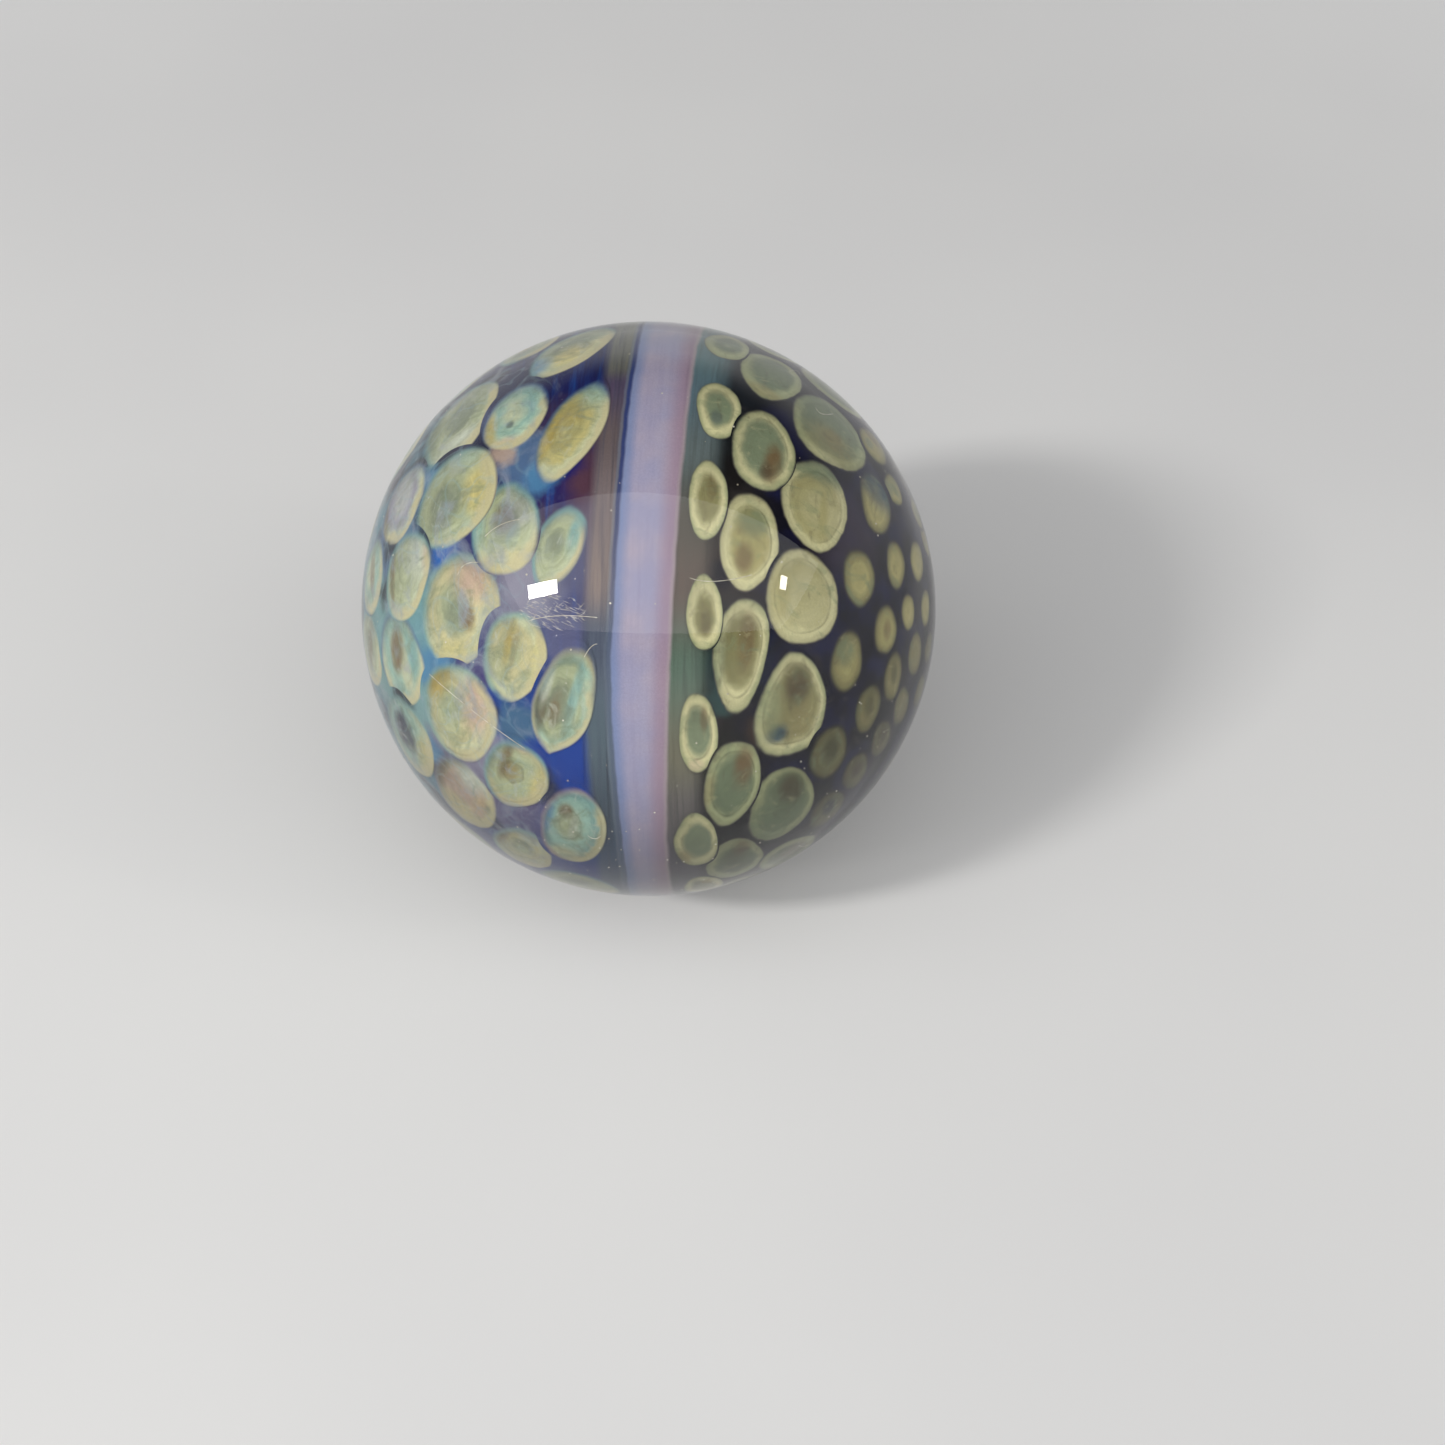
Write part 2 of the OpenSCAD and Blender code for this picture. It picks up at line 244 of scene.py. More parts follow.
FINE_RINGS = [
    (8, [
        Dot(15.5, 121, 8.5, 16, 0, "fine_grey", (0.15, 0.1)),
        Dot(15.5, 93, 8.5, 16, 0, "fine_teal", (0.05, 0), blots=[
            (-0.05, -0.3, 0.25, 0.25, SLATE, 0.6)]),
        Dot(14.5, 69, 7.3, 16.5, 0, "fine", (0.1, 0.05), blots=[
            (0.15, 0.3, 0.25, 0.3, BROWN, 0.5)]),
        Dot(14.5, 45, 6.3, 15, 0, "fine", (0.0, -0.1), blots=[
            (0.1, -0.25, 0.3, 0.35, UMBER, 0.6)]),
        Dot(13.5, 19, 7, 18, 0, "fine_teal", (0.05, 0.05), blots=[
            (0.3, 0.35, 0.2, 0.3, BROWN, 0.7), (-0.1, -0.75, 0.4, 0.16, PINK, 0.5)]),
        Dot(12.5, -12, 8, 20, 0, "fine_teal", (0.25, 0.15), blots=[
            (-0.6, -0.5, 0.35, 0.3, TAN, 0.8)]),
    ]),
    (8, [
        Dot(25.5, 114, 13, 21, -8, "fine_grey", (0.05, 0.05), blots=[
            (0.1, -0.8, 0.6, 0.2, TAN, 0.7), (0.0, 0.2, 0.5, 0.5, TEAL, 0.5)]),
        Dot(25.5, 85, 13, 21, -5, "fine_teal", (0.05, 0), blots=[
            (0.35, -0.25, 0.28, 0.44, BROWN, 1.0), (0.2, -0.5, 0.2, 0.2, UMBER, 0.8),
            (-0.1, 0.45, 0.5, 0.25, TEAL, 0.7)]),
        Dot(23.5, 61, 12, 20, 0, "fine_pale", (0.0, -0.05), blots=[
            (-0.15, -0.35, 0.3, 0.3, BROWN, 0.8), (0.1, 0.4, 0.5, 0.3, SAGE, 0.7)]),
        Dot(22, 36, 11, 22, -6, "fine", (0.1, 0.15), pear=0.2, bulge=(-60, 0.14), blots=[
            (0.2, 0.25, 0.3, 0.5, BROWN, 0.75), (-0.75, -0.2, 0.3, 0.7, TEAL, 0.6),
            (-0.1, -0.8, 0.6, 0.2, RIMCREAM, 0.8)]),
        Dot(20.5, 4.5, 11, 23, -8, "fine_grey", (0.1, 0.1), blots=[
            (0.3, 0.35, 0.34, 0.42, BROWN, 1.0), (-0.8, -0.1, 0.2, 0.4, TAN, 0.7),
            (0.0, -0.2, 0.4, 0.5, SAGE, 0.5)]),
        Dot(20, -25, 11, 21, 0, "fine_grey", (0.1, 0.1), blots=[
            (0.3, 0.5, 0.3, 0.3, BROWN, 0.8), (0.0, 0.0, 0.5, 0.6, DARKOLIVE, 0.6)]),
    ]),
    (7, [
        Dot(38.5, 133, 15.5, 17, 0, "fine_grey", blots=[(0.0, 0.0, 0.8, 0.8, TEAL, 0.6)]),
        Dot(40.5, 104, 19, 22, 0, "fine_grey", (0, 0), share=0.5, blots=[
            (0.0, 0.5, 0.95, 0.55, TEAL, 1.0), (0.1, -0.25, 0.24, 0.26, BROWN, 1.0),
            (0.05, -0.45, 0.7, 0.5, OLIVE, 0.9), (-0.1, -0.9, 0.7, 0.2, RIMCREAM, 0.6)]),
        Dot(38.5, 75, 16.5, 20, 0, "fine_pale", (0.05, -0.1), blots=[
            (0.1, 0.8, 0.9, 0.3, TEAL, 1.0), (0.15, -0.15, 0.75, 0.65, RIMCREAM, 0.75),
            (0.2, -0.2, 0.12, 0.5, KHAKI, 0.7)]),
        Dot(36, 49.5, 17.5, 18.5, 0, "fine_pale", (0.05, 0), blots=[
            (0.1, -0.1, 0.75, 0.75, RIMCREAM, 0.8), (-0.6, 0.0, 0.25, 0.6, KHAKI, 0.7)]),
        Dot(34.5, 22, 14.5, 22.5, 0, "fine", (0.2, 0.1), bulge=(200, 0.32), blots=[
            (0.1, 0.35, 0.38, 0.34, UMBER, 0.95), (-0.5, -0.45, 0.32, 0.17, DARKTEAL, 1.0),
            (-0.75, 0.1, 0.35, 0.6, RIMGREEN, 0.8), (0.2, -0.3, 0.4, 0.35, TAN, 0.7)]),
        Dot(31, -8, 15, 22.5, 0, "fine_grey", (0.3, 0.25), blots=[
            (0.3, 0.35, 0.32, 0.36, UMBER, 1.0), (0.3, 0.35, 0.5, 0.5, DARKOLIVE, 0.6),
            (-0.3, -0.3, 0.7, 0.6, SAGE, 0.9)]),
        Dot(31, -37, 12.5, 18, 0, "fine_grey", blots=[(0.2, 0.1, 0.5, 0.5, BROWN, 0.6)]),
    ]),
]

PLAIN_RINGS = [
    (7, [
        Dot(55, 90, 11, 16.5, 0, "plain", (0, -0.3), blots=[
            (0, 0.6, 1.0, 0.7, DARKTEAL, 0.9)]),
        Dot(51, 57.5, 10, 13, 0, "plain"),
        Dot(48, 31, 10, 13.5, 0, "plain", blots=[(-0.1, 0.3, 0.5, 0.4, SAGE, 0.6)]),
        Dot(43, 3, 11, 14.5, 0, "plain", blots=[
            (0.0, 0.0, 0.5, 0.6, SAGE, 0.6), (0.15, 0.15, 0.35, 0.4, DARKOLIVE, 0.7)]),
        Dot(41.5, -23, 9.5, 15, 0, "plain_dark", (0.1, 0.1), blots=[
            (0.15, 0.1, 0.35, 0.4, SLATE, 0.9)]),
    ]),
    (6, [
        Dot(63.5, 69.5, 8, 10.5, 0, "plain"),
        Dot(60.5, 39.5, 8.5, 11, 0, "plain", blots=[(0.1, 0.0, 0.3, 0.35, BROWN, 0.6)]),
        Dot(54.5, 10.5, 8.5, 12, 0, "plain", blots=[(0.1, 0.1, 0.35, 0.4, DARKOLIVE, 0.6)]),
        Dot(50, -14.5, 7.5, 12.5, 0, "plain_dark", blots=[(0.1, 0.1, 0.4, 0.4, UMBER, 0.7)]),
    ]),
    (5, [
        Dot(73, 88, 7.5, 10, 0, "plain"),
        Dot(70, 48, 6.5, 7.5, 0, "plain"),
        Dot(63.5, 16.5, 7.5, 11.5, 0, "plain", blots=[(0.1, 0.1, 0.3, 0.4, DARKOLIVE, 0.6)]),
        Dot(58.5, -11, 7, 11, 0, "plain_dark", blots=[(0.1, 0.1, 0.4, 0.4, UMBER, 0.6)]),
    ]),
    (3, [
        Dot(80.5, 57, 7, 7.5, 0, "plain"),
        Dot(74, 16.5, 8, 10, 0, "plain"),
        Dot(66.5, -7.5, 7, 11, 0, "plain"),
    ]),
    (1, [
        Dot(82.5, -10.5, 6.5, 6.5, 0, "plain"),
        Dot(74.5, -31, 6.5, 9, 0, "plain"),
    ]),
]

# How large the dots round the back are beside the front ones
BACK_SHARE = 0.86
BACK_TINTS = [BROWN, HONEY, GREYGREEN, SAGE]


def whole_ring(ring, looks, rng):
    """The front dots of a ring, and the ones that close it round the back."""
    more, front = ring
    last, first = front[-1], front[0]
    back = []
    for i in range(1, more + 1):
        way = i / (more + 1)
        blots = [(rng.uniform(-0.4, 0.4), rng.uniform(-0.4, 0.4), rng.uniform(0.2, 0.5),
                  rng.uniform(0.2, 0.5), rng.choice(BACK_TINTS), 0.7) for _ in range(2)]
        back.append(Dot(lat=last.lat + (first.lat - last.lat) * way * way,
                        turn=last.turn + (first.turn - 360 - last.turn) * way,
                        width=(last.width + (first.width - last.width) * way) * BACK_SHARE,
                        height=(last.height + (first.height - last.height) * way) * BACK_SHARE,
                        slant=last.slant + (first.slant - last.slant) * way,
                        look=rng.choice(looks), blots=blots,
                        centre=(rng.uniform(-0.2, 0.2), rng.uniform(-0.2, 0.2))))
    return front + back


# ---------------------------------------------------------------- shapes on the ball
# How many waves go round a dot's edge, and how far each moves it as a share
UNEVEN = ((2, 0.03), (3, 0.025), (5, 0.012))
BULGE_WIDTH = 38
# How quickly a leaf with one point turns round toward its other end
TIP_SLOPE = 1.3
# How far a dot's centre may lie toward its edge, and where the side painted lit faces, in degrees
CENTRE_REACH = 0.8
PAINTED_LIT_SIDE = -50
# Where a blot's edge has faded out, as a share of its size
BLOT_END = 1.45
BLOTS = ("a", "b", "c", "d")
NO_BLOT = (0, 0, 1, 1, CREAM, 0.0)


def on_ball(x, y, radius_mm, dot):
    """Points at tangent offsets in mm from a dot's middle, put on a ball of this radius, in metres."""
    s = math.radians(dot.slant)
    x, y = x * math.cos(s) - y * math.sin(s), x * math.sin(s) + y * math.cos(s)
    z = np.sqrt(np.maximum(RC_MM ** 2 - x * x - y * y, 0))
    points = np.stack([x, y, z], axis=-1).reshape(-1, 3) / RC_MM
    about_x = Matrix.Rotation(math.radians(90 - dot.turn), 3, "X")
    about_y = Matrix.Rotation(math.radians(dot.lat), 3, "Y")
    return points @ np.array(about_x @ about_y).T * radius_mm * MM


def outline(dot, around, grow_mm, rng):
    """The dot's edge and half size: an oval, leaf or pear as uneven as a drop pressed by hand."""
    angles = np.linspace(0, 2 * math.pi, around, endpoint=False)
    half_w, half_h = (RC_MM * math.sin(math.radians(v / 2)) + grow_mm for v in (dot.width, dot.height))
    ca, sa = np.cos(angles), np.sin(angles)
    flat = dot.leaf * (np.clip(0.5 + TIP_SLOPE * sa * dot.tip, 0, 1) if dot.tip else 1.0)
    tall = 1 / np.sqrt(1 - (flat / (1 + flat)) ** 2)
    side = (1 + flat) * np.sqrt(1 - (sa / tall) ** 2) - flat
    x = half_w * np.sign(ca) * np.where(np.abs(ca) < 1e-9, 0, side) * (1 + dot.pear * sa)
    uneven = 1.0
    for waves, share in UNEVEN:
        uneven = uneven + share * np.sin(waves * angles + rng.uniform(0, 2 * math.pi))
    off = (np.degrees(angles) - dot.bulge[0] + 180) % 360 - 180
    uneven += dot.bulge[1] * np.exp(-(off / BULGE_WIDTH) ** 2)
    return x * uneven, half_h * sa * uneven, half_w, half_h


def blot_field(px, py, blot):
    """How strongly a soft-edged oval blot covers each point."""
    bx, by, bw, bh, _, strength = blot
    t = np.clip(BLOT_END - np.hypot((px - bx) / bw, (py - by) / bh), 0, 1)
    return strength * t * t * (3 - 2 * t)


def ring_faces(base, rows, around, closed=False):
    """Faces between rows of points that each go once round."""
    faces = []
    for k in range(rows if closed else rows - 1):
        a, b = base + k * around, base + (k + 1) % rows * around
        faces += [(a + i, b + i, b + (i + 1) % around, a + (i + 1) % around) for i in range(around)]
    return faces


def add_object(name, data):
    ob = bpy.data.objects.new(name, data)
    bpy.context.scene.collection.objects.link(ob)
    return ob


def add_piece(name, points, faces, material, node=None, smooth=True):
    """Makes a piece of these points and faces, which stands for a CAD node if one is named."""
    mesh = bpy.data.meshes.new(name)
    mesh.from_pydata(points, [], faces)
    mesh.polygons.foreach_set("use_smooth", [smooth] * len(faces))
    mesh.materials.append(material)
    mesh.update()
    piece = add_object(name, mesh)
    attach(piece, "root")
    if node:
        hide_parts(node)
    return piece


class Pads:
    """Collects the pressed pads of one CAD node as one mesh with the fields its glass needs."""

    def __init__(self, around, depth_mm):
        self.around, self.depth_mm = around, depth_mm
        self.points, self.faces = [], []
        self.fields, self.colours = {}, {}
        self.count = 0

    def add(self, dot, edge, start, stop, steps, zones, lift_mm):
        """Adds the part of a dot between two shares of the way from its centre to its edge.

        Its rows of points run out over its top and come back in along its underside.
        """
        shares = np.linspace(start, stop, steps + 1)
        rows = []
        for along, half, centre in zip(edge[:2], edge[2:], dot.centre):
            middle = centre * half * CENTRE_REACH
            rows.append(middle + shares[:, None] * (along - middle)[None, :])
        low = [-1, 0]
        self.points.append(on_ball(*rows, RC_MM + lift_mm, dot))
        self.points.append(on_ball(*(r[low] for r in rows), RC_MM - self.depth_mm, dot))
        px, py = (np.vstack([r, r[low]]).ravel() / half for r, half in zip(rows, edge[2:]))
        ring = np.repeat(np.append(shares, shares[low]), self.around)
        # Painted light: side runs toward the side painted lit, and the halo is narrower on that side.
        lit = math.radians(PAINTED_LIT_SIDE - dot.slant + dot.turned)
        side = px * math.cos(lit) + py * math.sin(lit)
        fields = {"ring": ring, "reach": ring * (1 - dot.lean * side), "side": side}
        # A dot's tone darkens its colours, which on the plain dots is painted shade.
        toned = [[c * dot.tone for c in colour[:3]] + [dot.seed] for colour in LOOKS[dot.look]]
        colours = dict(zip(("heart", "body", "rim", "halo"), toned), zones=zones)
        for key, blot in zip(BLOTS, list(dot.blots) + [NO_BLOT] * len(BLOTS)):
            fields["blot_" + key] = blot_field(px, py, blot)
            colours["tint_" + key] = [c * dot.tone for c in blot[4][:3]] + [1.0]
        for key, values in fields.items():
            self.fields.setdefault(key, []).append(values)
        for key, colour in colours.items():
            self.colours.setdefault(key, []).append(np.tile(colour, (len(ring), 1)))
        self.faces += ring_faces(self.count, steps + 3, self.around, closed=True)
        self.count += len(ring)

    def build(self, name, node, material):
        mesh = add_piece(name, np.concatenate(self.points).tolist(), self.faces, material, node).data
        for key, parts in self.fields.items():
            layer = mesh.attributes.new(key, "FLOAT", "POINT")
            layer.data.foreach_set("value", np.concatenate(parts).astype(np.float32))
        for key, parts in self.colours.items():
            layer = mesh.attributes.new(key, "FLOAT_COLOR", "POINT")
            layer.data.foreach_set("color", np.concatenate(parts).astype(np.float32).ravel())


# ---------------------------------------------------------------- material nodes
class Net:
    """The shader nodes of a material or a world, which feed on one another's outputs."""

    def __init__(self, owner):
        owner.use_nodes = True
        self.owner, self.tree = owner, owner.node_tree
        self.tree.nodes.clear()

    def put(self, kind, inputs=None, **settings):
        """Adds a node, sets it up, and feeds its inputs from values or other nodes' outputs."""
        n = self.tree.nodes.new("ShaderNode" + kind)
        for key, value in settings.items():
            setattr(n, key, value)
        for key, value in (inputs or {}).items():
            if isinstance(value, bpy.types.NodeSocket):
                self.tree.links.new(value, n.inputs[key])
            else:
                n.inputs[key].default_value = value
        return n

    def calc(self, operation, a, b=0.0, clamp=False):
        return self.put("Math", {0: a, 1: b}, operation=operation, use_clamp=clamp).outputs[0]

    def add(self, a, b):
        return self.calc("ADD", a, b)

    def sub(self, a, b):
        return self.calc("SUBTRACT", a, b)

    def mul(self, a, b, clamp=False):
        return self.calc("MULTIPLY", a, b, clamp)

    def vector(self, operation, *inputs):
        return self.put("VectorMath", dict(enumerate(inputs)), operation=operation).outputs[0]

    def distance(self, operation, *inputs):
        return self.put("VectorMath", dict(enumerate(inputs)), operation=operation).outputs["Value"]

    def ramp(self, value, low, high, to_low=0.0, to_high=1.0):
        """A smooth step of value between low and high."""
        inputs = {"Value": value, "From Min": low, "From Max": high, "To Min": to_low, "To Max": to_high}
        return self.put("MapRange", inputs, interpolation_type="SMOOTHSTEP").outputs[0]

    def past(self, value, edge, soft):
        """0 where the value is short of an edge and 1 past it, with a soft step between."""
        return self.ramp(value, self.sub(edge, soft), self.add(edge, soft))

    def blend(self, share, a, b, how="MIX"):
        return self.put("Mix", {0: share, 6: a, 7: b}, data_type="RGBA", blend_type=how).outputs[2]

    def lay(self, colour, tint, value, low, high, strength=1.0):
        """Lays a tint over the colour, from nothing where a value is low to strength where it is high."""
        return self.blend(self.ramp(value, low, high, 0.0, strength), colour, tint)

    def shade(self, colour, tone):
        """The colour made lighter or darker by a tone, where 1 leaves it as it is."""
        grey = self.put("CombineColor", {0: tone, 1: tone, 2: tone}).outputs[0]
        return self.blend(1.0, colour, grey, "MULTIPLY")

    def attribute(self, name, output="Fac"):
        return self.put("Attribute", attribute_name=name).outputs[output]

    def place(self):
        return self.put("TexCoord").outputs["Object"]

    def place_mm(self, stretch=(1, 1, 1)):
        """The place on the ball in millimetres, stretched along each axis."""
        return self.vector("MULTIPLY", self.place(), [s / MM for s in stretch])

    def noise(self, where, scale, detail=3.0, rough=0.55, bend=0.0):
        return self.put("TexNoise", {"Vector": where, "Scale": scale, "Detail": detail,
                                     "Roughness": rough, "Distortion": bend}).outputs["Fac"]

    def waver(self, where, scale, detail=3.0):
        """Noise about zero."""
        return self.sub(self.noise(where, scale, detail), 0.5)

    def streaks(self, along, scale, detail, rough=0.55):
        """Noise drawn out round the X axis, with so many streaks to a width."""
        return self.noise(self.place_mm((along, 0.12, 0.12)), scale, detail, rough)

    def mix_shaders(self, share, a, b):
        return self.put("MixShader", {0: share, 1: a, 2: b}).outputs[0]

    def show(self, shader, kind="OutputMaterial"):
        """Makes this shader the surface."""
        self.put(kind, {"Surface": shader})
        return self.owner


def new_net(name):
    """The nodes of a new material."""
    return Net(bpy.data.materials.new(name))


# Painted shade: how much darker the glass is painted low on the ball, where least light reaches it, and
# between which heights
LOW_SHADE_TONE, LOW_MM, HIGH_MM = 0.48, -8.0, 4.0


class Glass(Net):
    """Coloured glass of the patterned ball, whose nodes know where on the ball they are.

    Where is the place in mm, across is how far along X, turn is the angle round X, and
    share is the turn as a share of a whole round.
    """

    def __init__(self, name):
        super().__init__(bpy.data.materials.new(name))
        self.where = self.place_mm()
        self.across, forth, self.height = self.put("SeparateXYZ", {0: self.where}).outputs[:3]
        self.turn = self.calc("ARCTAN2", self.height, self.mul(forth, -1.0))
        self.share = self.calc("FRACT", self.add(self.calc("DIVIDE", self.turn, 2 * math.pi), 1.0))

    def fuse(self, colour):
        """Fuses the glass under the clear casing: no air lies between them, so it has no gloss."""
        tone = self.ramp(self.noise(self.where, 9.0, 4.0, 0.7), 0.2, 0.8, 0.92, 1.07)
        # Painted shade: the glass is painted darker low on the ball, where least light reaches it.
        tone = self.mul(tone, self.ramp(self.height, LOW_MM, HIGH_MM, LOW_SHADE_TONE, 1.0))
        normal = self.vector("NORMALIZE", self.place())
        return self.show(self.put("BsdfPrincipled", {
            "Base Color": self.shade(colour, tone), "Roughness": 0.85, "Specular IOR Level": 0.0,
            "Normal": normal}).outputs[0])

    def wisps(self, colour, tint, scale, low, high, strength, stretch=(1, 1, 1)):
        """Soft wisps of another glass drawn through this one."""
        drawn = self.noise(self.place_mm(stretch), scale, 5.0, 0.6, 1.1)
        return self.lay(colour, tint, drawn, low, high, strength)

    def wheel(self, shift, stops):
        """Colour by the turn round X, moved by a shift, from rows of turn, red, green and blue."""
        n = self.put("ValToRGB", {0: self.add(self.share, shift) if shift else self.share})
        n.color_ramp.interpolation = "EASE"
        table = sorted(((turn % 360) / 360, srgb(*rgb)) for turn, *rgb in stops)
        table.append((1.0, table[0][1]))
        elements = n.color_ramp.elements
        while len(elements) < len(table):
            elements.new(0.5)
        for element, (position, colour) in zip(elements, table):
            element.position, element.color = position, colour
        return n.outputs[0]

    def clouds(self, colour, table):
        """Lays each cloud of a table over the colour, with its edges moved about by noise."""
        stir = self.put("TexNoise", {"Vector": self.where, "Scale": 0.7, "Detail": 3.0}).outputs["Color"]
        stir = self.vector("SUBTRACT", stir, (0.5, 0.5, 0.5))
        stir = self.put("VectorMath", {0: stir, "Scale": CLOUD_DRIFT_MM}, operation="SCALE").outputs[0]
        moved = self.vector("ADD", self.where, stir)
        for lat, turn, size, tint, strength in table:
            a, b = math.radians(lat), math.radians(turn)
            spot = (math.sin(a), -math.cos(a) * math.cos(b), math.cos(a) * math.sin(b))
            far = self.distance("DISTANCE", moved, [v * RC_MM for v in spot])
            colour = self.lay(colour, tint, far, size, size * CLOUD_CORE, strength)
        return colour


# ---------------------------------------------------------------- grounds, wraps and band
# Each row of a wheel is a turn in degrees and a colour as 0 to 255, and one row is at turn 0
# What lies under the dots of the large-cell half, as it goes round the band
LEFT_WHEEL = [(0, 10, 52, 140), (18, 14, 60, 148), (36, 24, 52, 118),
              (48, 72, 72, 108), (62, 66, 52, 80), (72, 38, 34, 92),
              (84, 72, 56, 74), (96, 26, 30, 86), (110, 20, 26, 80),
              (180, 24, 34, 84), (290, 18, 34, 88), (325, 16, 50, 130)]
# The same for the fine-dot half
RIGHT_WHEEL = [(0, 22, 22, 24), (22, 28, 26, 24), (36, 32, 50, 52),
               (50, 48, 38, 36), (66, 46, 42, 40), (84, 22, 26, 28),
               (110, 26, 32, 40), (180, 24, 28, 40), (340, 18, 18, 24)]
SLATE_WHEEL = [(0, 72, 86, 98), (20, 86, 102, 112), (40, 92, 100, 116),
               (50, 138, 124, 118), (66, 126, 114, 114), (82, 104, 92, 92),
               (98, 84, 72, 96), (104, 106, 106, 96), (125, 116, 118, 106),
               (180, 86, 96, 96), (340, 60, 82, 112)]
SMOKE_WHEEL = [(0, 108, 104, 102), (14, 118, 116, 98), (34, 98, 118, 104),
               (50, 104, 92, 84), (64, 92, 88, 80), (80, 100, 112, 112),
               (96, 94, 116, 126), (112, 92, 122, 126), (180, 90, 110, 116),
               (340, 84, 80, 92)]
# Clouds and streaks of colour: latitude, turn, size in mm, colour, strength
# Among the cells, the BLACKBLUE spots are painted shade in the crevices between them.
LEFT_CLOUDS = [
    (-7.5, 72, 2.6, srgb(88, 58, 68), 0.9), (-9, 62, 2.2, srgb(104, 92, 112), 0.8),
    (-12, 55, 2.6, srgb(86, 88, 120), 0.8), (-16, 77, 1.6, INDIGO, 0.8),
    (-14.5, 39, 2.4, srgb(108, 110, 140), 0.75),
    (-35, 52, 5.0, LAVENDER, 0.45), (-30, -4, 5.5, MAUVE, 0.7), (-33, 8, 3.0, LAVENDER, 0.7),
    (-24, 80, 2.6, STEEL, 0.9), (-28.5, 83, 1.2, PINK, 0.8), (-22, 49, 2.6, LAVENDER, 0.8),
    (-20, 74, 1.6, SKY, 0.8), (-43, 61, 1.7, srgb(24, 96, 178), 1.0), (-36, 59, 1.8, INDIGO, 0.8),
    (-35, 31, 2.0, srgb(70, 62, 116), 0.8), (-43, 31, 1.3, SKY, 0.8), (-49, 30, 3.2, SKY, 0.75),
    (-51, 42, 2.8, TURQUOISE, 0.7), (-52, 72, 3.4, STEEL, 0.7), (-50, 76, 1.3, NAVY, 0.9),
    (-24, 19, 2.0, srgb(66, 104, 134), 0.9), (-19, 4, 1.8, BLACKBLUE, 0.8),
    (-33, 90, 1.6, NAVY, 0.9), (-27, 108, 3.0, NAVY, 0.7), (-47, 8, 2.6, LAVENDER, 0.7),
    (-48, -2, 1.6, SKY, 0.7), (-50, 0, 1.0, BLACKBLUE, 0.8),
    (-51, 12, 2.4, TURQUOISE, 0.8), (-53, 58, 1.8, AQUA, 0.7), (-66, 40, 2.6, TURQUOISE, 0.8),
    (-48, 86, 1.4, SKY, 0.7), (-66, 72, 2.2, STEEL, 0.8), (-66, 8, 2.4, TURQUOISE, 0.8),
    (-33, 68, 1.2, BLACKBLUE, 0.8), (-49, 66, 1.3, BLACKBLUE, 0.8),
    (-31, 20, 1.1, BLACKBLUE, 0.7), (-32, -18, 1.4, NAVY, 0.8),
    (-55, 98, 2.0, BLACKBLUE, 0.9), (-62, 74, 1.4, BLACKBLUE, 0.9), (-65, 50, 1.3, BLACKBLUE, 0.9),
    (-57, 9, 1.6, BLACKBLUE, 0.8), (-52, -18, 1.6, BLACKBLUE, 0.8),
    (-47, -12, 1.1, BLACKBLUE, 0.9), (-34, 116, 1.6, BLACKBLUE, 0.8), (-70, 62, 1.6, TURQUOISE, 0.8),
]
RIGHT_CLOUDS = [
    (46, 70, 4.0, srgb(66, 58, 72), 0.7), (28, 18, 1.6, srgb(62, 48, 40), 0.9),
    (19, 27, 1.4, srgb(50, 78, 76), 0.8), (18, 53, 1.2, BLACKBLUE, 0.8),
    (20, 77, 1.4, srgb(22, 20, 20), 0.9), (30, 95, 2.0, srgb(26, 28, 60), 0.8),
]
CLOUD_DRIFT_MM = 1.6
# The share of a cloud's size within which it is at its strongest
CLOUD_CORE = 0.35
HAZE, THREAD = srgb(158, 166, 178), srgb(150, 184, 192)
THREAD_HALF = 0.045


def mist(glass, colour):
    """The lavender haze and soft pale threads that lie over the large-cell half."""
    where = glass.place_mm((1.2, 0.8, 1.0))
    haze = glass.ramp(glass.noise(where, 0.42, 4.0, 0.55, 1.2), 0.5, 0.74, 0.0, 0.55)
    colour = glass.blend(glass.mul(haze, glass.ramp(glass.across, -3.0, -7.5)), colour, HAZE)
    off = glass.calc("ABSOLUTE", glass.sub(glass.noise(where, 0.3, 0.8, 0.5, 1.8), 0.48))
    thread = glass.ramp(off, THREAD_HALF, 0.0, 0.0, 0.2)
    return glass.blend(glass.mul(thread, glass.ramp(glass.across, -4.0, -8.0)), colour, THREAD)


def left_ground(glass):
    """Clear cobalt beside the band, and clouded blue, mauve and turquoise among the cells."""
    where, across = glass.where, glass.across
    colour = glass.wheel(glass.mul(glass.waver(where, 0.35), 0.06), LEFT_WHEEL)
    colour = glass.lay(colour, srgb(34, 92, 176), glass.streaks(1.8, 1.2, 3.0), 0.5, 0.8, 0.4)
    cloud = glass.ramp(glass.noise(where, 0.28), 0.42, 0.62, 0.0, 0.65)
    outer = glass.mul(glass.ramp(across, -5.0, -8.0), cloud)
    colour = glass.blend(outer, colour, srgb(78, 80, 118))
    depths = glass.lay(srgb(10, 20, 46), srgb(70, 130, 148), glass.noise(where, 0.34), 0.4, 0.6)
    colour = glass.blend(glass.mul(glass.ramp(across, -8.5, -11.5), 0.9), colour, depths)
    return mist(glass, glass.clouds(colour, LEFT_CLOUDS))


def right_ground(glass):
    """Near-black glass with teal and brown beside the band, and navy farther out."""
    colour = glass.wheel(glass.mul(glass.waver(glass.where, 0.4), 0.05), RIGHT_WHEEL)
    navy = glass.lay(srgb(14, 13, 26), srgb(24, 26, 62), glass.noise(glass.where, 0.3), 0.42, 0.66)
    colour = glass.lay(colour, navy, glass.across, 5.0, 8.5)
    colour = glass.wisps(colour, srgb(64, 58, 62), 0.35, 0.55, 0.75, 0.6)
    return glass.clouds(colour, RIGHT_CLOUDS)


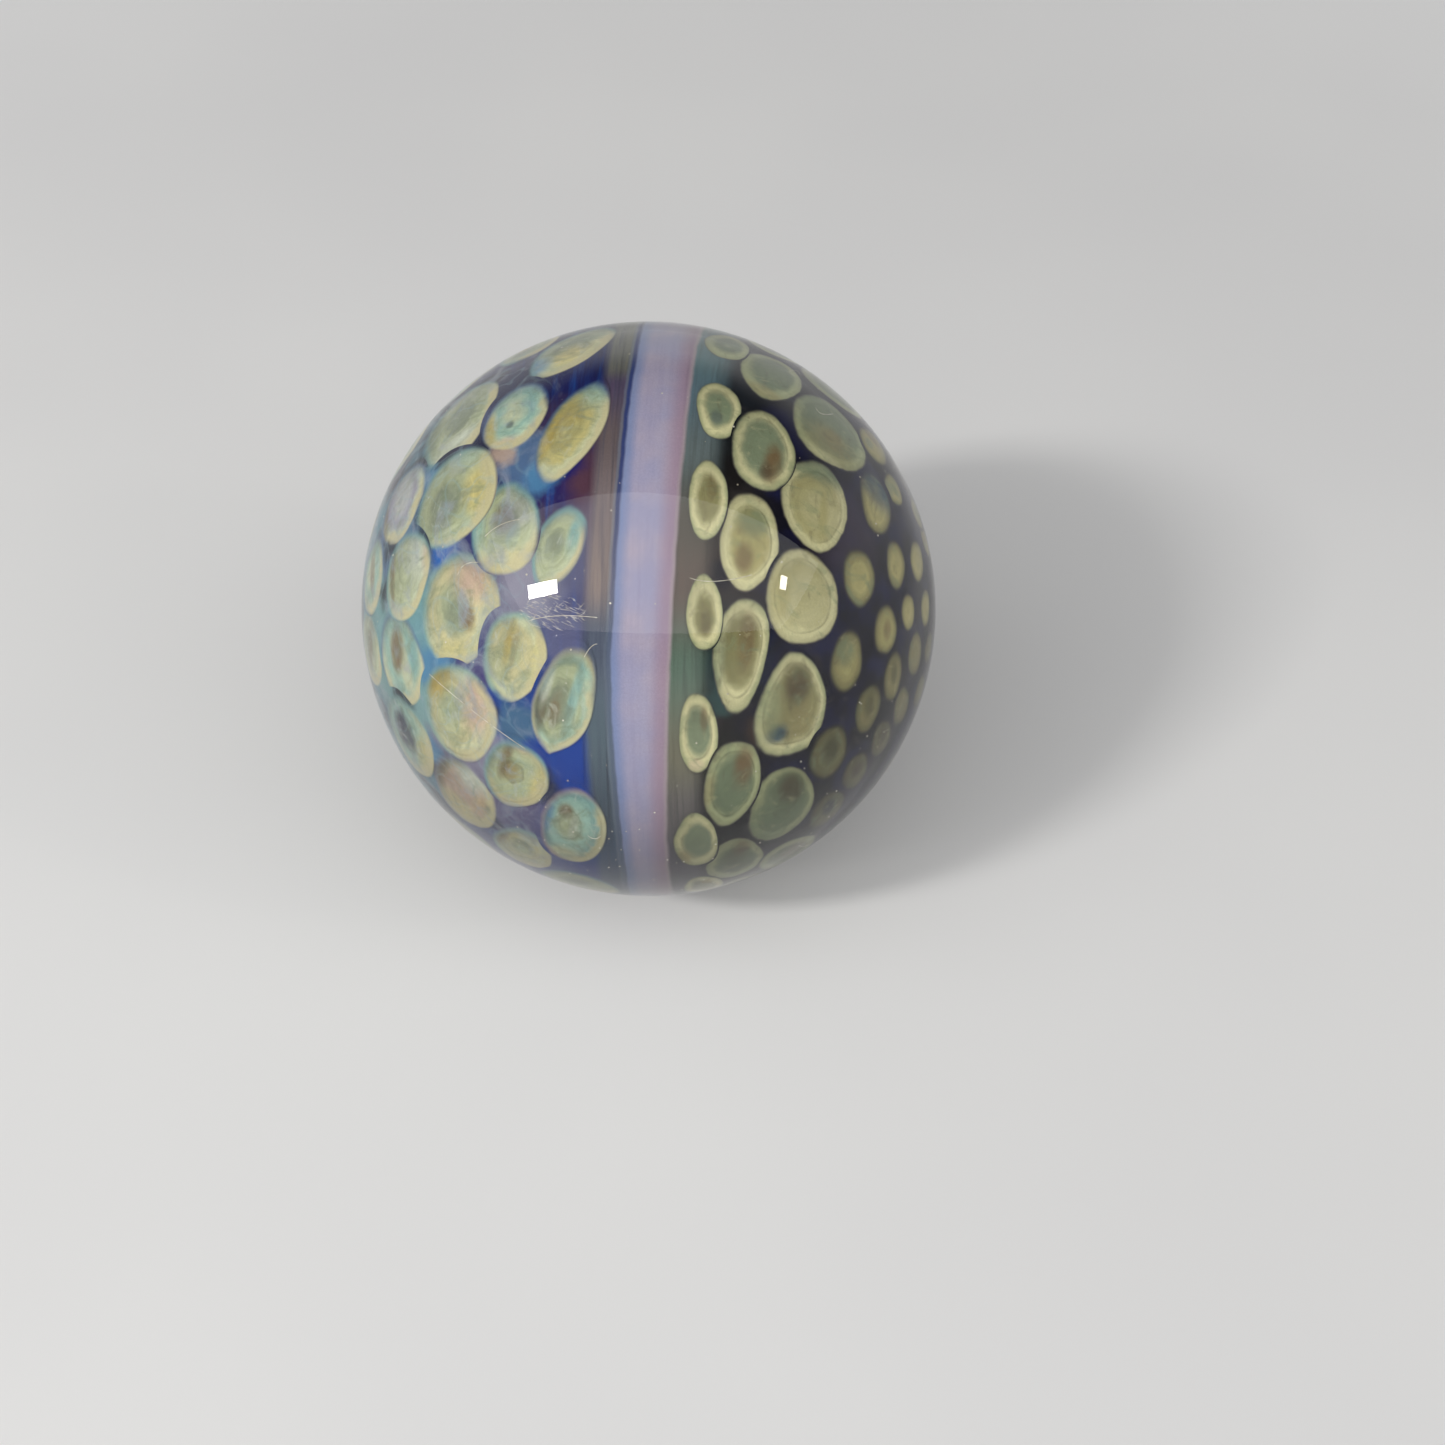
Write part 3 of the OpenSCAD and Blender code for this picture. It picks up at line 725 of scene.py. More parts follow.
# How the band strays: it leans as a whole, and its left edge pulls in low on the front
STRAY_MM, STRAY_TURN = 0.5, 40
PULL_MM, PULL_TURN = 0.85, -60
WEAVE_MM = 0.2
# Where the blue edge line is darkest
DARK_TURN = 110
LILAC, WARM_LILAC, DEEP_LILAC = srgb(160, 158, 186), srgb(176, 166, 184), srgb(146, 142, 172)
BLUE_SIDE, ROSE_SIDE = srgb(116, 136, 178), srgb(158, 132, 148)
PALE_LINE, BLUE_LINE, ROSE_LINE = srgb(116, 128, 144), srgb(44, 58, 112), srgb(168, 156, 158)


def swing(glass, about):
    """1 where the turn is this one, falling to -1 on the other side of the ball."""
    return glass.calc("COSINE", glass.sub(glass.turn, math.radians(about)))


def band_colours(glass):
    """The wraps, the edge lines and the band, with soft edges where they have run together."""
    stray = glass.mul(swing(glass, STRAY_TURN + 90), STRAY_MM)
    pull = glass.ramp(swing(glass, PULL_TURN), -0.15, 0.85, 0.0, PULL_MM)
    weave = glass.mul(glass.waver(glass.where, 0.5, 2.0), WEAVE_MM)
    across = glass.sub(glass.across, stray)
    at_left = glass.add(glass.sub(across, pull), weave)
    at_right = glass.sub(across, weave)
    streak = glass.streaks(3.2, 1.4, 4.0, 0.6)
    cloud = glass.noise(glass.where, 0.35, 2.0)
    slate = glass.lay(glass.wheel(None, SLATE_WHEEL), srgb(66, 70, 88), streak, 0.4, 0.7, 0.45)
    smoke = glass.lay(glass.wheel(None, SMOKE_WHEEL), srgb(72, 74, 74), streak, 0.42, 0.7, 0.35)
    lilac = glass.lay(LILAC, WARM_LILAC, cloud, 0.3, 0.7)
    lilac = glass.lay(lilac, DEEP_LILAC, streak, 0.4, 0.75, 0.3)
    lilac = glass.lay(lilac, BLUE_SIDE, at_left, BAND_A + 0.8, BAND_A + 0.1, 0.75)
    lilac = glass.lay(lilac, ROSE_SIDE, at_right, BAND_B - 1.2, BAND_B - 0.1, 0.75)
    dark = glass.ramp(swing(glass, DARK_TURN), 0.2, 0.95, 0.2, 0.9)
    # From left to right: where each glass starts, how soft its edge is, its colour and strength
    steps = [
        (at_left, SLATE_A, 0.35, slate, 1.0),
        (at_left, LINE_A - 0.1, 0.08, PALE_LINE, 0.45),
        (at_left, LINE_A + 0.05, 0.08, BLUE_LINE, dark),
        (at_left, BAND_A, 0.1, lilac, 1.0),
        (at_right, BAND_B, 0.1, ROSE_LINE, 0.7),
        (at_right, BAND_B + 0.18, 0.12, smoke, 1.0),
        (at_right, SMOKE_B, 0.6, right_ground(glass), 1.0),
    ]
    colour = left_ground(glass)
    for at, edge, soft, tint, strength in steps:
        share = glass.mul(glass.ramp(at, edge - soft, edge + soft), strength)
        colour = glass.blend(share, colour, tint)
    return colour


def drawn_glass(name):
    """Glass of the grounds, wraps, lines and band, which all run on into one another."""
    glass = Glass(name)
    return glass.fuse(band_colours(glass))


# ---------------------------------------------------------------- glass of dots and cells
# A cell's painted highlight along its lit edge, and the tint of its painted shade on the other side
PAINTED_LIT_LIP, PAINTED_SHADE_TINT = srgb(204, 196, 152), srgb(140, 170, 200)
# Wisps in the cells and in the dots: colour, scale, from and to which noise, strength, stretch
CELL_WISPS = [(WHITE, 1.0, 0.52, 0.76, 0.5, (1.5, 0.7, 0.8)),
              (GREYGREEN, 0.55, 0.5, 0.72, 0.6, (1.0, 1.3, 0.7))]
DOT_WISPS = [(UMBER, 0.9, 0.54, 0.78, 0.4, (1.5, 0.6, 0.8)),
             (RIMCREAM, 1.2, 0.55, 0.8, 0.4, (0.7, 1.2, 1.0))]
ALL_WISPS = [(SAGE, 0.7, 0.5, 0.76, 0.55, (0.8, 1.4, 0.8))]


class PadGlass(Glass):
    """Glass of a dot or cell, laid in rings round its heart with soft, uneven edges.

    Inner is how far out the rings are at a point, outer is the same for the dot's edge,
    and side runs from -1 on the side painted in shade to 1 on the side painted lit. A cell
    has a lip: its lower side ends in a pale painted highlight and its upper side in painted
    shade. A tube is a rim painted lighter in its middle, so that it looks round.
    """

    def __init__(self, name, soft_in, soft_out, swirl, lip=0.0, tube=0.0):
        super().__init__(name)
        self.soft_in, self.soft_out, self.lip, self.tube = soft_in, soft_out, lip, tube
        self.slow = self.waver(self.where, 0.5, 2.0)
        quick = self.waver(self.where, 2.0)
        self.shift = self.add(self.mul(self.slow, swirl), self.mul(quick, swirl * 0.3))
        self.inner = self.add(self.attribute("ring"), self.shift)
        self.outer = self.add(self.attribute("reach"), self.mul(self.shift, 0.35))
        self.side = self.add(self.attribute("side"), self.mul(self.slow, 1.2))
        zones = self.put("SeparateColor", {0: self.attribute("zones", "Color")}).outputs
        self.heart_end, self.body_end, self.rim_end = zones[:3]
        self.halo_end = self.attribute("zones", "Alpha")
        colour = self.shade(self.ringed(), self.tone())
        for wisp in (CELL_WISPS if lip else DOT_WISPS) + ALL_WISPS:
            colour = self.wisps(colour, *wisp)
        if lip:
            colour = mist(self, self.painted_lip_and_shade(colour))
        self.material = self.fuse(self.edged(colour, band_colours(self)))

    def ringed(self):
        """The rings from heart to rim, with the blots over them."""
        colour = self.attribute("heart", "Color")
        for edge, key in ((self.heart_end, "body"), (self.body_end, "rim")):
            share = self.past(self.inner, edge, self.soft_in)
            colour = self.blend(share, colour, self.attribute(key, "Color"))
        for key in BLOTS:
            uneven = self.add(0.9, self.mul(self.shift, 3.0))
            cover = self.mul(self.attribute("blot_" + key), uneven, clamp=True)
            colour = self.blend(cover, colour, self.attribute("tint_" + key, "Color"))
        return colour

    def tone(self):
        """Light and dark rings, painted light and shade from one side, and a tube's painted roundness."""
        seed = self.mul(self.attribute("heart", "Alpha"), 50.0)
        rings = {0: self.mul(self.inner, 5.0), 1: seed, 2: self.mul(self.slow, 2.5)}
        noise = self.noise(self.put("CombineXYZ", rings).outputs[0], 1.0, 4.0, 0.65)
        swing_by = 0.17 if self.lip else 0.08
        tone = self.ramp(noise, 0.25, 0.75, 1 - swing_by, 1 + swing_by)
        # Painted light and shade: lighter on the side painted lit, darker on the other.
        tone = self.mul(tone, self.ramp(self.side, -1.0, 0.8, 0.82, 1.08))
        # Painted shade: a tube's rim is painted lighter in its middle and darker toward its edges, as if
        # round.
        if self.tube:
            middle = self.mul(self.add(self.heart_end, self.body_end), 0.5)
            half = self.mul(self.sub(self.body_end, self.heart_end), 0.6)
            off = self.calc("DIVIDE", self.calc("ABSOLUTE", self.sub(self.inner, middle)), half)
            tone = self.mul(tone, self.ramp(off, 0.1, 1.2, 1 + self.tube, 1 - self.tube))
        return tone

    def near_rim(self, width, low, high, strength):
        """A share that is strong near the rim's end, toward one side."""
        near = self.ramp(self.inner, self.sub(self.rim_end, width), self.rim_end)
        return self.mul(near, self.ramp(self.side, low, high, 0.0, strength))

    def painted_lip_and_shade(self, colour):
        """A painted highlight along the rim on the side painted lit, and painted shade along the other.
        """
        colour = self.blend(self.near_rim(0.16, 0.0, 0.7, self.lip), colour, PAINTED_LIT_LIP)
        shaded = self.blend(1.0, colour, PAINTED_SHADE_TINT, "MULTIPLY")
        return self.blend(self.near_rim(0.4, 0.1, -0.8, 1.0), colour, shaded)

    def edged(self, colour, below):
        """The halo round the rim, and the ground that shows through where the halo ends."""
        # The halo follows the painted light: wide and soft on the side painted in shade, narrow with the
        # ground showing through on the side painted lit.
        soft = self.mul(self.ramp(self.side, -0.9, 0.3, 2.0 if self.lip else 1.4, 0.8), self.soft_out)
        clear = self.ramp(self.side, -0.2, 0.7, 0.1, 0.9 if self.lip else 0.3)
        haze = self.blend(clear, self.attribute("halo", "Color"), below)
        colour = self.blend(self.past(self.outer, self.rim_end, soft), colour, haze)
        end = self.halo_end
        faded = self.ramp(self.outer, self.sub(end, soft), self.add(end, self.soft_out * 0.6))
        colour = self.blend(faded, colour, below)
        if not self.lip:
            return colour
        # On the side painted lit, a cell's edge stays crisp over the ground, as part of its painted
        # highlight.
        lit = self.ramp(self.side, -0.2, 0.5)
        start = self.add(self.mul(lit, 0.08), 0.87)
        rest = self.sub(1.0, self.mul(lit, 0.35))
        return self.blend(self.mul(self.ramp(self.attribute("ring"), start, 1.0), rest), colour, below)


# ---------------------------------------------------------------- casing
def casing_glass():
    """Clear polished glass with faint waves and scratches.

    Lamps pass through it freely from inside, so that they light the pattern, while from
    outside it holds them back, so that the floor gets the whole ball's shadow.
    """
    net = new_net("casing_glass")
    waves = net.noise(net.place_mm(), 0.12, 1.0)
    scratch = net.ramp(net.noise(net.place_mm((0.22, 4.0, 1.0)), 1.3, 5.0, 0.75), 0.68, 0.72)
    height = net.add(net.mul(waves, 0.01), net.mul(scratch, 0.0015))
    bump = net.put("Bump", {"Strength": 1.0, "Distance": MM, "Height": height})
    glass = net.put("BsdfPrincipled", {
        "Base Color": (0.985, 0.99, 0.985, 1.0), "Roughness": 0.0, "IOR": IOR,
        "Transmission Weight": 1.0, "Normal": bump.outputs[0]}).outputs[0]
    path = net.put("LightPath").outputs
    inside = net.put("NewGeometry").outputs["Backfacing"]
    dark = net.put("BsdfTransparent", {"Color": (0.1, 0.1, 0.1, 1.0)}).outputs[0]
    clear = net.put("BsdfTransparent", {"Color": (1.0, 1.0, 1.0, 1.0)}).outputs[0]
    lamps = net.mix_shaders(inside, dark, clear)
    soft = net.mix_shaders(path["Is Diffuse Ray"], glass, clear)
    return net.show(net.mix_shaders(path["Is Shadow Ray"], soft, lamps))


BALL_STEPS = 88
# How far the ball is out of true
TURNING_MM = 0.01


def clear_ball():
    """The casing as one closed ball of clear glass, a hair out of true as a hand-turned one is.

    It is a cube's six grids blown up to a ball, which share the points along their edges.
    """
    axis = np.tan(np.linspace(-math.pi / 4, math.pi / 4, BALL_STEPS + 1))
    points, faces, seen = [], [], {}

    def corner(place):
        """The number of the point in this direction, which is added if it is new."""
        point = place.normalized()
        key = tuple(round(c, 6) for c in point)
        if key not in seen:
            seen[key] = len(points)
            points.append(point)
        return seen[key]

    x, y, z = Matrix.Identity(3)
    for u, v, w in ((x, y, z), (y, z, x), (z, x, y)):
        for sign in (1, -1):
            ids = [corner(u * a * sign + v * b + w * sign) for b in axis for a in axis]
            n = BALL_STEPS + 1
            for k in range(BALL_STEPS * n):
                if k % n < BALL_STEPS:
                    faces.append((ids[k], ids[k + 1], ids[k + n + 1], ids[k + n]))
    shaped = [p * (R - TURNING_MM * MM * (1 + math.sin(3 * p.x + 1) * math.cos(2.5 * p.y)))
              for p in points]
    add_piece("casing_ball", shaped, faces, casing_glass(), "clear_casing")


# ---------------------------------------------------------------- dust, fibres and scuff
# Fine fibres on the casing: ends and middle as seen, in ball radii from the line of sight
FIBRES_AND_GLINT = [
    ((-0.70, -0.2), (-0.56, -0.31), (-0.39, -0.43)), ((-0.51, 0.23), (-0.46, 0.265), (-0.4, 0.28)),
    # The first thread on the next line is a painted highlight: a pale thread drawn where a glint falls.
    ((-0.2, -0.14), (-0.18, -0.11), (-0.16, -0.1)), ((-0.37, -0.03), (-0.28, -0.015), (-0.16, -0.02)),
    ((-0.2, -0.72), (-0.18, -0.73), (-0.16, -0.72)), ((0.54, 0.66), (0.56, 0.64), (0.6, 0.645)),
    ((0.46, 0.79), (0.49, 0.8), (0.5, 0.78)), ((0.12, 0.1), (0.2, 0.09), (0.31, 0.11)),
    ((0.5, -0.79), (0.53, -0.8), (0.56, -0.78)), ((-0.6, 0.1), (-0.58, 0.14), (-0.53, 0.15)),
]
FIBRE_MM, FIBRE_STEPS, FIBRE_AROUND = 0.022, 14, 5
# The scuff under the main highlight, partly worn glass and partly a painted highlight: its place and half
# size in ball radii, and how it leans
SCUFF_GLINT_ACROSS, SCUFF_GLINT_UP = -0.295, -0.005
SCUFF_GLINT_WIDE, SCUFF_GLINT_TALL = 0.1, 0.055
SCUFF_GLINT_TURN, SCRATCHES = -28, 150
# How deep the middles of specks and scratches lie in the casing
SUNK_MM = 0.03
# Where the dust lies in ball radii: across, half width, up, half height, number of specks
DUST = [(0, 1, 0, 1, 110), (-0.93, 0.05, 0, 0.4, 70), (0, 0.5, -0.8, 0.12, 40), (0.6, 0.2, -0.5, 0.3, 30)]
DUST_END = 0.985


def flake(points, faces, rim, top, bottom):
    """A low solid that comes to a point above and below its rim."""
    base, n = len(points), len(rim)
    points += rim + [top, bottom]
    for k in range(n):
        faces.append((base + k, base + (k + 1) % n, base + n))
        faces.append((base + (k + 1) % n, base + k, base + n + 1))


def speck(points, faces, normal, size):
    """A flake of dust lying on the casing."""
    where = normal * (R - SUNK_MM * MM)
    side = normal.orthogonal().normalized()
    rim = [where + Matrix.Rotation(k * 2 * math.pi / 5, 3, normal) @ side * size for k in range(5)]
    flake(points, faces, rim, where + normal * size * 0.15, where - normal * size * 0.3)


def scratch_lip(points, faces, normal, along, length, width):
    """A raised lip of a scratch: a long flat diamond lying on the casing."""
    where = normal * (R - SUNK_MM * MM)
    side = normal.cross(along).normalized()
    rim = [where - along * length, where + side * width, where + along * length, where - side * width]
    flake(points, faces, rim, where + normal * width * 0.5, where - normal * width)


def fibre(points, faces, ends):
    """A thin bent thread lying on the casing, through its middle."""
    start, middle, end = (facing(*p) for p in ends)
    bend = 2 * middle - (start + end) / 2
    along = (end - start).normalized()
    faces += ring_faces(len(points), FIBRE_STEPS + 1, FIBRE_AROUND)
    for i in range(FIBRE_STEPS + 1):
        t = i / FIBRE_STEPS
        normal = ((1 - t) ** 2 * start + 2 * t * (1 - t) * bend + t * t * end).normalized()
        side = normal.cross(along).normalized()
        for k in range(FIBRE_AROUND):
            a = 2 * math.pi * k / FIBRE_AROUND
            off = (math.cos(a) * side + math.sin(a) * normal) * FIBRE_MM * MM
            points.append(normal * (R - 2 * FIBRE_MM * MM) + off)


def scuff_and_glints(points, faces, rng):
    """Short pale scratches that crowd into one worn spot on the casing; their paleness is partly a
    painted highlight.
    """
    for _ in range(SCRATCHES):
        reach, around = math.sqrt(rng.random()), rng.uniform(0, 2 * math.pi)
        a = SCUFF_GLINT_ACROSS + SCUFF_GLINT_WIDE * reach * math.cos(around)
        b = SCUFF_GLINT_UP + SCUFF_GLINT_TALL * reach * math.sin(around)
        turn = math.radians(SCUFF_GLINT_TURN + rng.choice((0, 0, 0, 75)) + rng.uniform(-12, 12))
        normal = facing(a, b)
        along = (facing(a + 0.01 * math.cos(turn), b + 0.01 * math.sin(turn)) - normal).normalized()
        length, width = rng.uniform(0.08, 0.32) * MM, rng.uniform(0.006, 0.016) * MM
        scratch_lip(points, faces, normal, along, length, width)


def build_dust(rng):
    """Specks of dust, a few fibres, one of them a painted glint, and a scuff that is partly a painted
    highlight, with most dust toward the left limb.
    """
    points, faces = [], []
    for across, wide, up, tall, count in DUST:
        for _ in range(count):
            a, b = across + wide * rng.uniform(-1, 1), up + tall * rng.uniform(-1, 1)
            if math.hypot(a, b) < DUST_END:
                speck(points, faces, facing(a, b), rng.uniform(0.02, 0.075) * MM)
    for ends in FIBRES_AND_GLINT:
        fibre(points, faces, ends)
    scuff_and_glints(points, faces, rng)
    net = new_net("dust")
    fleck = net.noise(net.place_mm(), 3.0)
    colour = net.lay(srgb(226, 222, 206), srgb(176, 168, 146), fleck, 0.35, 0.65)
    shader = net.put("BsdfPrincipled", {"Base Color": colour, "Roughness": 0.8})
    add_piece("dust", points, faces, net.show(shader.outputs[0]), smooth=False)


# ---------------------------------------------------------------- pieces of the patterned ball
TURNED_AROUND = 288
# How many steps the open ground, a wrap's seat, an edge line's seat and a wrap's top take
GROUND_STEPS, WRAP_STEPS, LINE_STEPS, WRAP_TOP_STEPS = 80, 4, 2, 8


def layers(rows):
    """Points (x, r) in mm of the patterned ball, along rows of from x, to x, depth and steps."""
    points = []
    for a, b, depth_mm, steps in rows:
        radius = RC_MM - depth_mm
        start, stop = (math.acos(max(-1, min(1, v / radius))) for v in (a, b))
        angles = np.linspace(start, stop, steps + 1)
        points += [(radius * math.cos(t), radius * math.sin(t)) for t in angles]
    return points


def turned_piece(name, node, profile, material, closed=False):
    """A solid of glass turned round X from a profile of (x, r) points."""
    angles = [2 * math.pi * i / TURNED_AROUND for i in range(TURNED_AROUND)]
    points = [(x * MM, r * MM * math.cos(t), r * MM * math.sin(t)) for x, r in profile for t in angles]
    add_piece(name, points, ring_faces(0, len(profile), TURNED_AROUND, closed), material, node)


def build_grounds():
    """The grounds and wraps under the dots, turned as the whole rings they are drawn from."""
    cobalt = [(-RC_MM, SLATE_A, 0, GROUND_STEPS), (SLATE_A, LINE_A, WRAP_DEPTH_MM, WRAP_STEPS),
              (LINE_A, BAND_A, LINE_DEPTH_MM, LINE_STEPS), (BAND_A, MIDDLE, BAND_DEPTH_MM, WRAP_STEPS)]
    midnight = [(MIDDLE, BAND_B, BAND_DEPTH_MM, WRAP_STEPS), (BAND_B, LINE_B, LINE_DEPTH_MM, LINE_STEPS),
                (LINE_B, SMOKE_B, WRAP_DEPTH_MM, WRAP_STEPS), (SMOKE_B, RC_MM, 0, GROUND_STEPS)]
    middle = [(MIDDLE, 0.0)]
    turned_piece("cobalt_glass", "cobalt_ground", layers(cobalt) + middle, drawn_glass("cobalt_drawn"))
    turned_piece("midnight_glass", "midnight_ground", middle + layers(midnight),
                 drawn_glass("midnight_drawn"))
    for name, node, a, b in (("slate_glass", "slate_wrap", SLATE_A, LINE_A),
                             ("smoke_glass", "smoke_wrap", LINE_B, SMOKE_B)):
        profile = layers([(a, b, 0, WRAP_TOP_STEPS), (b, a, WRAP_DEPTH_MM, WRAP_STEPS)])
        turned_piece(name, node, profile, drawn_glass(name + "_drawn"), closed=True)
    for node in ("lilac_band", "blue_edge_line", "rose_edge_line"):
        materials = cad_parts[node].data.materials
        materials.clear()
        materials.append(drawn_glass(node + "_drawn"))


# How far the dots stand over the ground, so that those that overlap lie on each other
LIFT_MM = (0.015, 0.06)
# How much larger than the CAD ones the dots are, as they fade out within it
CELL_GROW_MM, DOT_GROW_MM, BAND_RING_SHARE = 0.55, 0.2, 0.4
# How many points go round each kind, and how many rows run out over each of its parts
CELL_AROUND, HALO_ROWS, BODY_ROWS, HEART_ROWS = 72, 5, 12, 9
DOT_AROUND, RIM_ROWS, DOT_HEART_ROWS = 64, 9, 10
PLAIN_AROUND, PLAIN_ROWS = 48, 14
# Where the heart, body, rim and halo end, as shares of the way out; a cell's and a fine
# dot's heart end by their own size
CELL_BODY_END, CELL_HALO_END = 0.82, 0.97
FINE_ENDS, FINE_HEART_SOFT = (0.86, 0.93, 0.965), 0.07
PLAIN_ENDS = (0.3, 0.68, 0.8, 0.9)
CELL_BACK = ["celadon", "celadon", "cream", "honey", "aqua", "brown", "pink", "spiral", "ring"]
FINE_BACK = ["fine", "fine_teal", "fine_pale", "fine_grey"]
PLAIN_BACK = ["plain", "plain", "plain_dark"]
# Painted shade: the plain dots are painted darker near this turn, and keep their own colour farther off
SHADE_TURN, SHADE_NEAR, SHADE_FAR, PAINTED_SHADE_TONE = -12, 15, 62, 0.46


def build_cells(rng):
    """The large cells: halos, bodies and hearts are three pieces that share their edges."""
    glass = PadGlass("cell_glass", 0.17, 0.1, 0.4, lip=0.85).material
    halos, bodies = Pads(CELL_AROUND, DOT_DEPTH_MM), Pads(CELL_AROUND, DOT_DEPTH_MM)
    hearts = Pads(CELL_AROUND, HEART_DEPTH_MM)
    for ring in CELL_RINGS:
        grow = CELL_GROW_MM * (BAND_RING_SHARE if ring is CELL_RINGS[0] else 1)
        for dot in whole_ring(ring, CELL_BACK, rng):
            dot.lean, dot.turned, dot.seed = rng.uniform(0.14, 0.28), rng.uniform(-30, 30), rng.random()
            edge = outline(dot, CELL_AROUND, grow, rng)
            body = 1 - HALO_MM / ((edge[2] + edge[3]) / 2)
            heart = dot.share * body
            zones = (heart, body * CELL_BODY_END, body, CELL_HALO_END)
            lift = rng.uniform(*LIFT_MM)
            halos.add(dot, edge, body, 1.0, HALO_ROWS, zones, lift)
            bodies.add(dot, edge, heart, body, BODY_ROWS, zones, lift)
            hearts.add(dot, edge, 0.0, heart, HEART_ROWS, zones, lift)
    halos.build("halo_glass", "cell_halos", glass)
    bodies.build("cream_glass", "cream_cells", glass)
    hearts.build("heart_glass", "cell_hearts", glass)


def build_fine_dots(rng):
    """The fine dots: a cream rim round an olive or teal heart."""
    glass = PadGlass("fine_dot_glass", 0.15, 0.05, 0.28, tube=0.1).material
    rims, hearts = Pads(DOT_AROUND, DOT_DEPTH_MM), Pads(DOT_AROUND, HEART_DEPTH_MM)
    dots = [dot for ring in FINE_RINGS for dot in whole_ring(ring, FINE_BACK, rng)]
    for dot in dots:
        dot.lean, dot.turned, dot.seed = rng.uniform(-0.02, 0.03), rng.uniform(-30, 30), rng.random()
        edge = outline(dot, DOT_AROUND, DOT_GROW_MM, rng)
        share = 1 - RIM_MM / ((edge[2] + edge[3]) / 2)
        zones = (share - FINE_HEART_SOFT, *FINE_ENDS)
        lift = rng.uniform(*LIFT_MM)
        rims.add(dot, edge, share, 1.0, RIM_ROWS, zones, lift)
        hearts.add(dot, edge, 0.0, share, DOT_HEART_ROWS, zones, lift)
    rims.build("rim_glass", "dot_rims", glass)
    hearts.build("dot_heart_glass", "dot_hearts", glass)


def painted_shade_tone(turn):
    """How light a plain dot is painted from its turn: darker near the turn of the painted shade."""
    off = abs((turn - SHADE_TURN + 180) % 360 - 180)
    way = min(max((off - SHADE_NEAR) / (SHADE_FAR - SHADE_NEAR), 0), 1)
    return PAINTED_SHADE_TONE + (1 - PAINTED_SHADE_TONE) * way * way * (3 - 2 * way)


def build_plain_dots(rng):
    """The plain dots toward the fine end: olive drops with soft, dark edges."""
    glass = PadGlass("plain_dot_glass", 0.3, 0.12, 0.2).material
    dots = Pads(PLAIN_AROUND, DOT_DEPTH_MM)
    for ring in PLAIN_RINGS:
        for dot in whole_ring(ring, PLAIN_BACK, rng):
            dot.turned, dot.seed, dot.tone = rng.uniform(-30, 30), rng.random(), painted_shade_tone(dot.turn)
            lift = rng.uniform(*LIFT_MM)
            edge = outline(dot, PLAIN_AROUND, DOT_GROW_MM, rng)
            dots.add(dot, edge, 0.0, 1.0, PLAIN_ROWS, PLAIN_ENDS, lift)
    dots.build("olive_glass", "far_dots", glass)


# ---------------------------------------------------------------- camera
SIGHT_AZIMUTH, SIGHT_ELEVATION, SIGHT_ROLL = 5.2, 45.0, -2.35
SIGHT_DISTANCE = 7 * R
LENS, SENSOR, CLIP = 49.45, 36.0, (0.005, 20.0)
AIM_ACROSS, AIM_UP = -0.0365, 0.0562


def sight_axes():
    """Right, up and back of the line of sight, as unit vectors."""
    a, e, r = (math.radians(v) for v in (SIGHT_AZIMUTH, SIGHT_ELEVATION, SIGHT_ROLL))
    back = Vector((math.sin(a) * math.cos(e), -math.cos(a) * math.cos(e), math.sin(e)))
    right = Vector((math.cos(a), math.sin(a), 0))
    up = back.cross(right)
    return math.cos(r) * right + math.sin(r) * up, -math.sin(r) * right + math.cos(r) * up, back


def facing(across, up):
    """Direction of a place on the casing, from how far off the line of sight it is in ball radii."""
    right, rise, back = sight_axes()
    return across * right + up * rise + math.sqrt(1 - across ** 2 - up ** 2) * back


def make_camera():
    """The camera looks a little past the ball, so that the ball sits left of and above the middle."""
    right, up, back = sight_axes()
    aim = Vector((AIM_ACROSS, AIM_UP, -1)).normalized()
    side = (Vector((1, 0, 0)) - aim.x * aim).normalized()
    seen = Matrix((side, (-aim).cross(side), -aim))
    world = Matrix((right, up, back)).transposed()
    data = bpy.data.cameras.new("view")
    data.lens, data.sensor_width = LENS, SENSOR
    data.clip_start, data.clip_end = CLIP
    camera = add_object("view", data)
    camera.matrix_world = Matrix.Translation(back * SIGHT_DISTANCE) @ (world @ seen).to_4x4()
    bpy.context.scene.camera = camera


# ---------------------------------------------------------------- light and floor
LAMP_DISTANCE = 0.5
# The two lamps that show in the glass: where their reflections lie in ball radii, their
# width and height, watts, how many degrees they are spun about their own axis, and colour
MIRRORED_LAMPS = [("key", (-0.345, 0.07), (0.1, 0.042), 1.0, 47, (1.0, 0.98, 0.95)),
                  ("spark", (0.432, 0.092), (0.04, 0.024), 0.08, 30, (1.0, 0.95, 0.85))]
CEILING_PLACE, CEILING_SIZE, CEILING_WATTS = (0.25, -0.4, 0.6), (2.3, 0.8), 6.8
# The dim light of the room itself
ROOM_LIGHT, ROOM_STRENGTH = (0.8, 0.8, 0.82, 1), 0.14
# The pale wall ends at this height of the sky, and the dim ceiling starts at that one
WALL_TOP, CEILING_AT, CEILING_TONE = 0.2, 0.5, 0.12
BACKDROP = (0.72, 0.72, 0.72, 1.0)
FLOOR_HALF = 3.0
SWEEP_NEAR, SWEEP_FAR = 4 * R, 14 * R


def seen_by_mirror(across, up):
    """Direction of a lamp whose reflection shows at this place on the ball, in ball radii."""
    right, rise, back = sight_axes()
    lean = 2 * math.asin(math.hypot(across, up))
    about = math.atan2(up, across)
    return math.cos(lean) * back + math.sin(lean) * (math.cos(about) * right + math.sin(about) * rise)


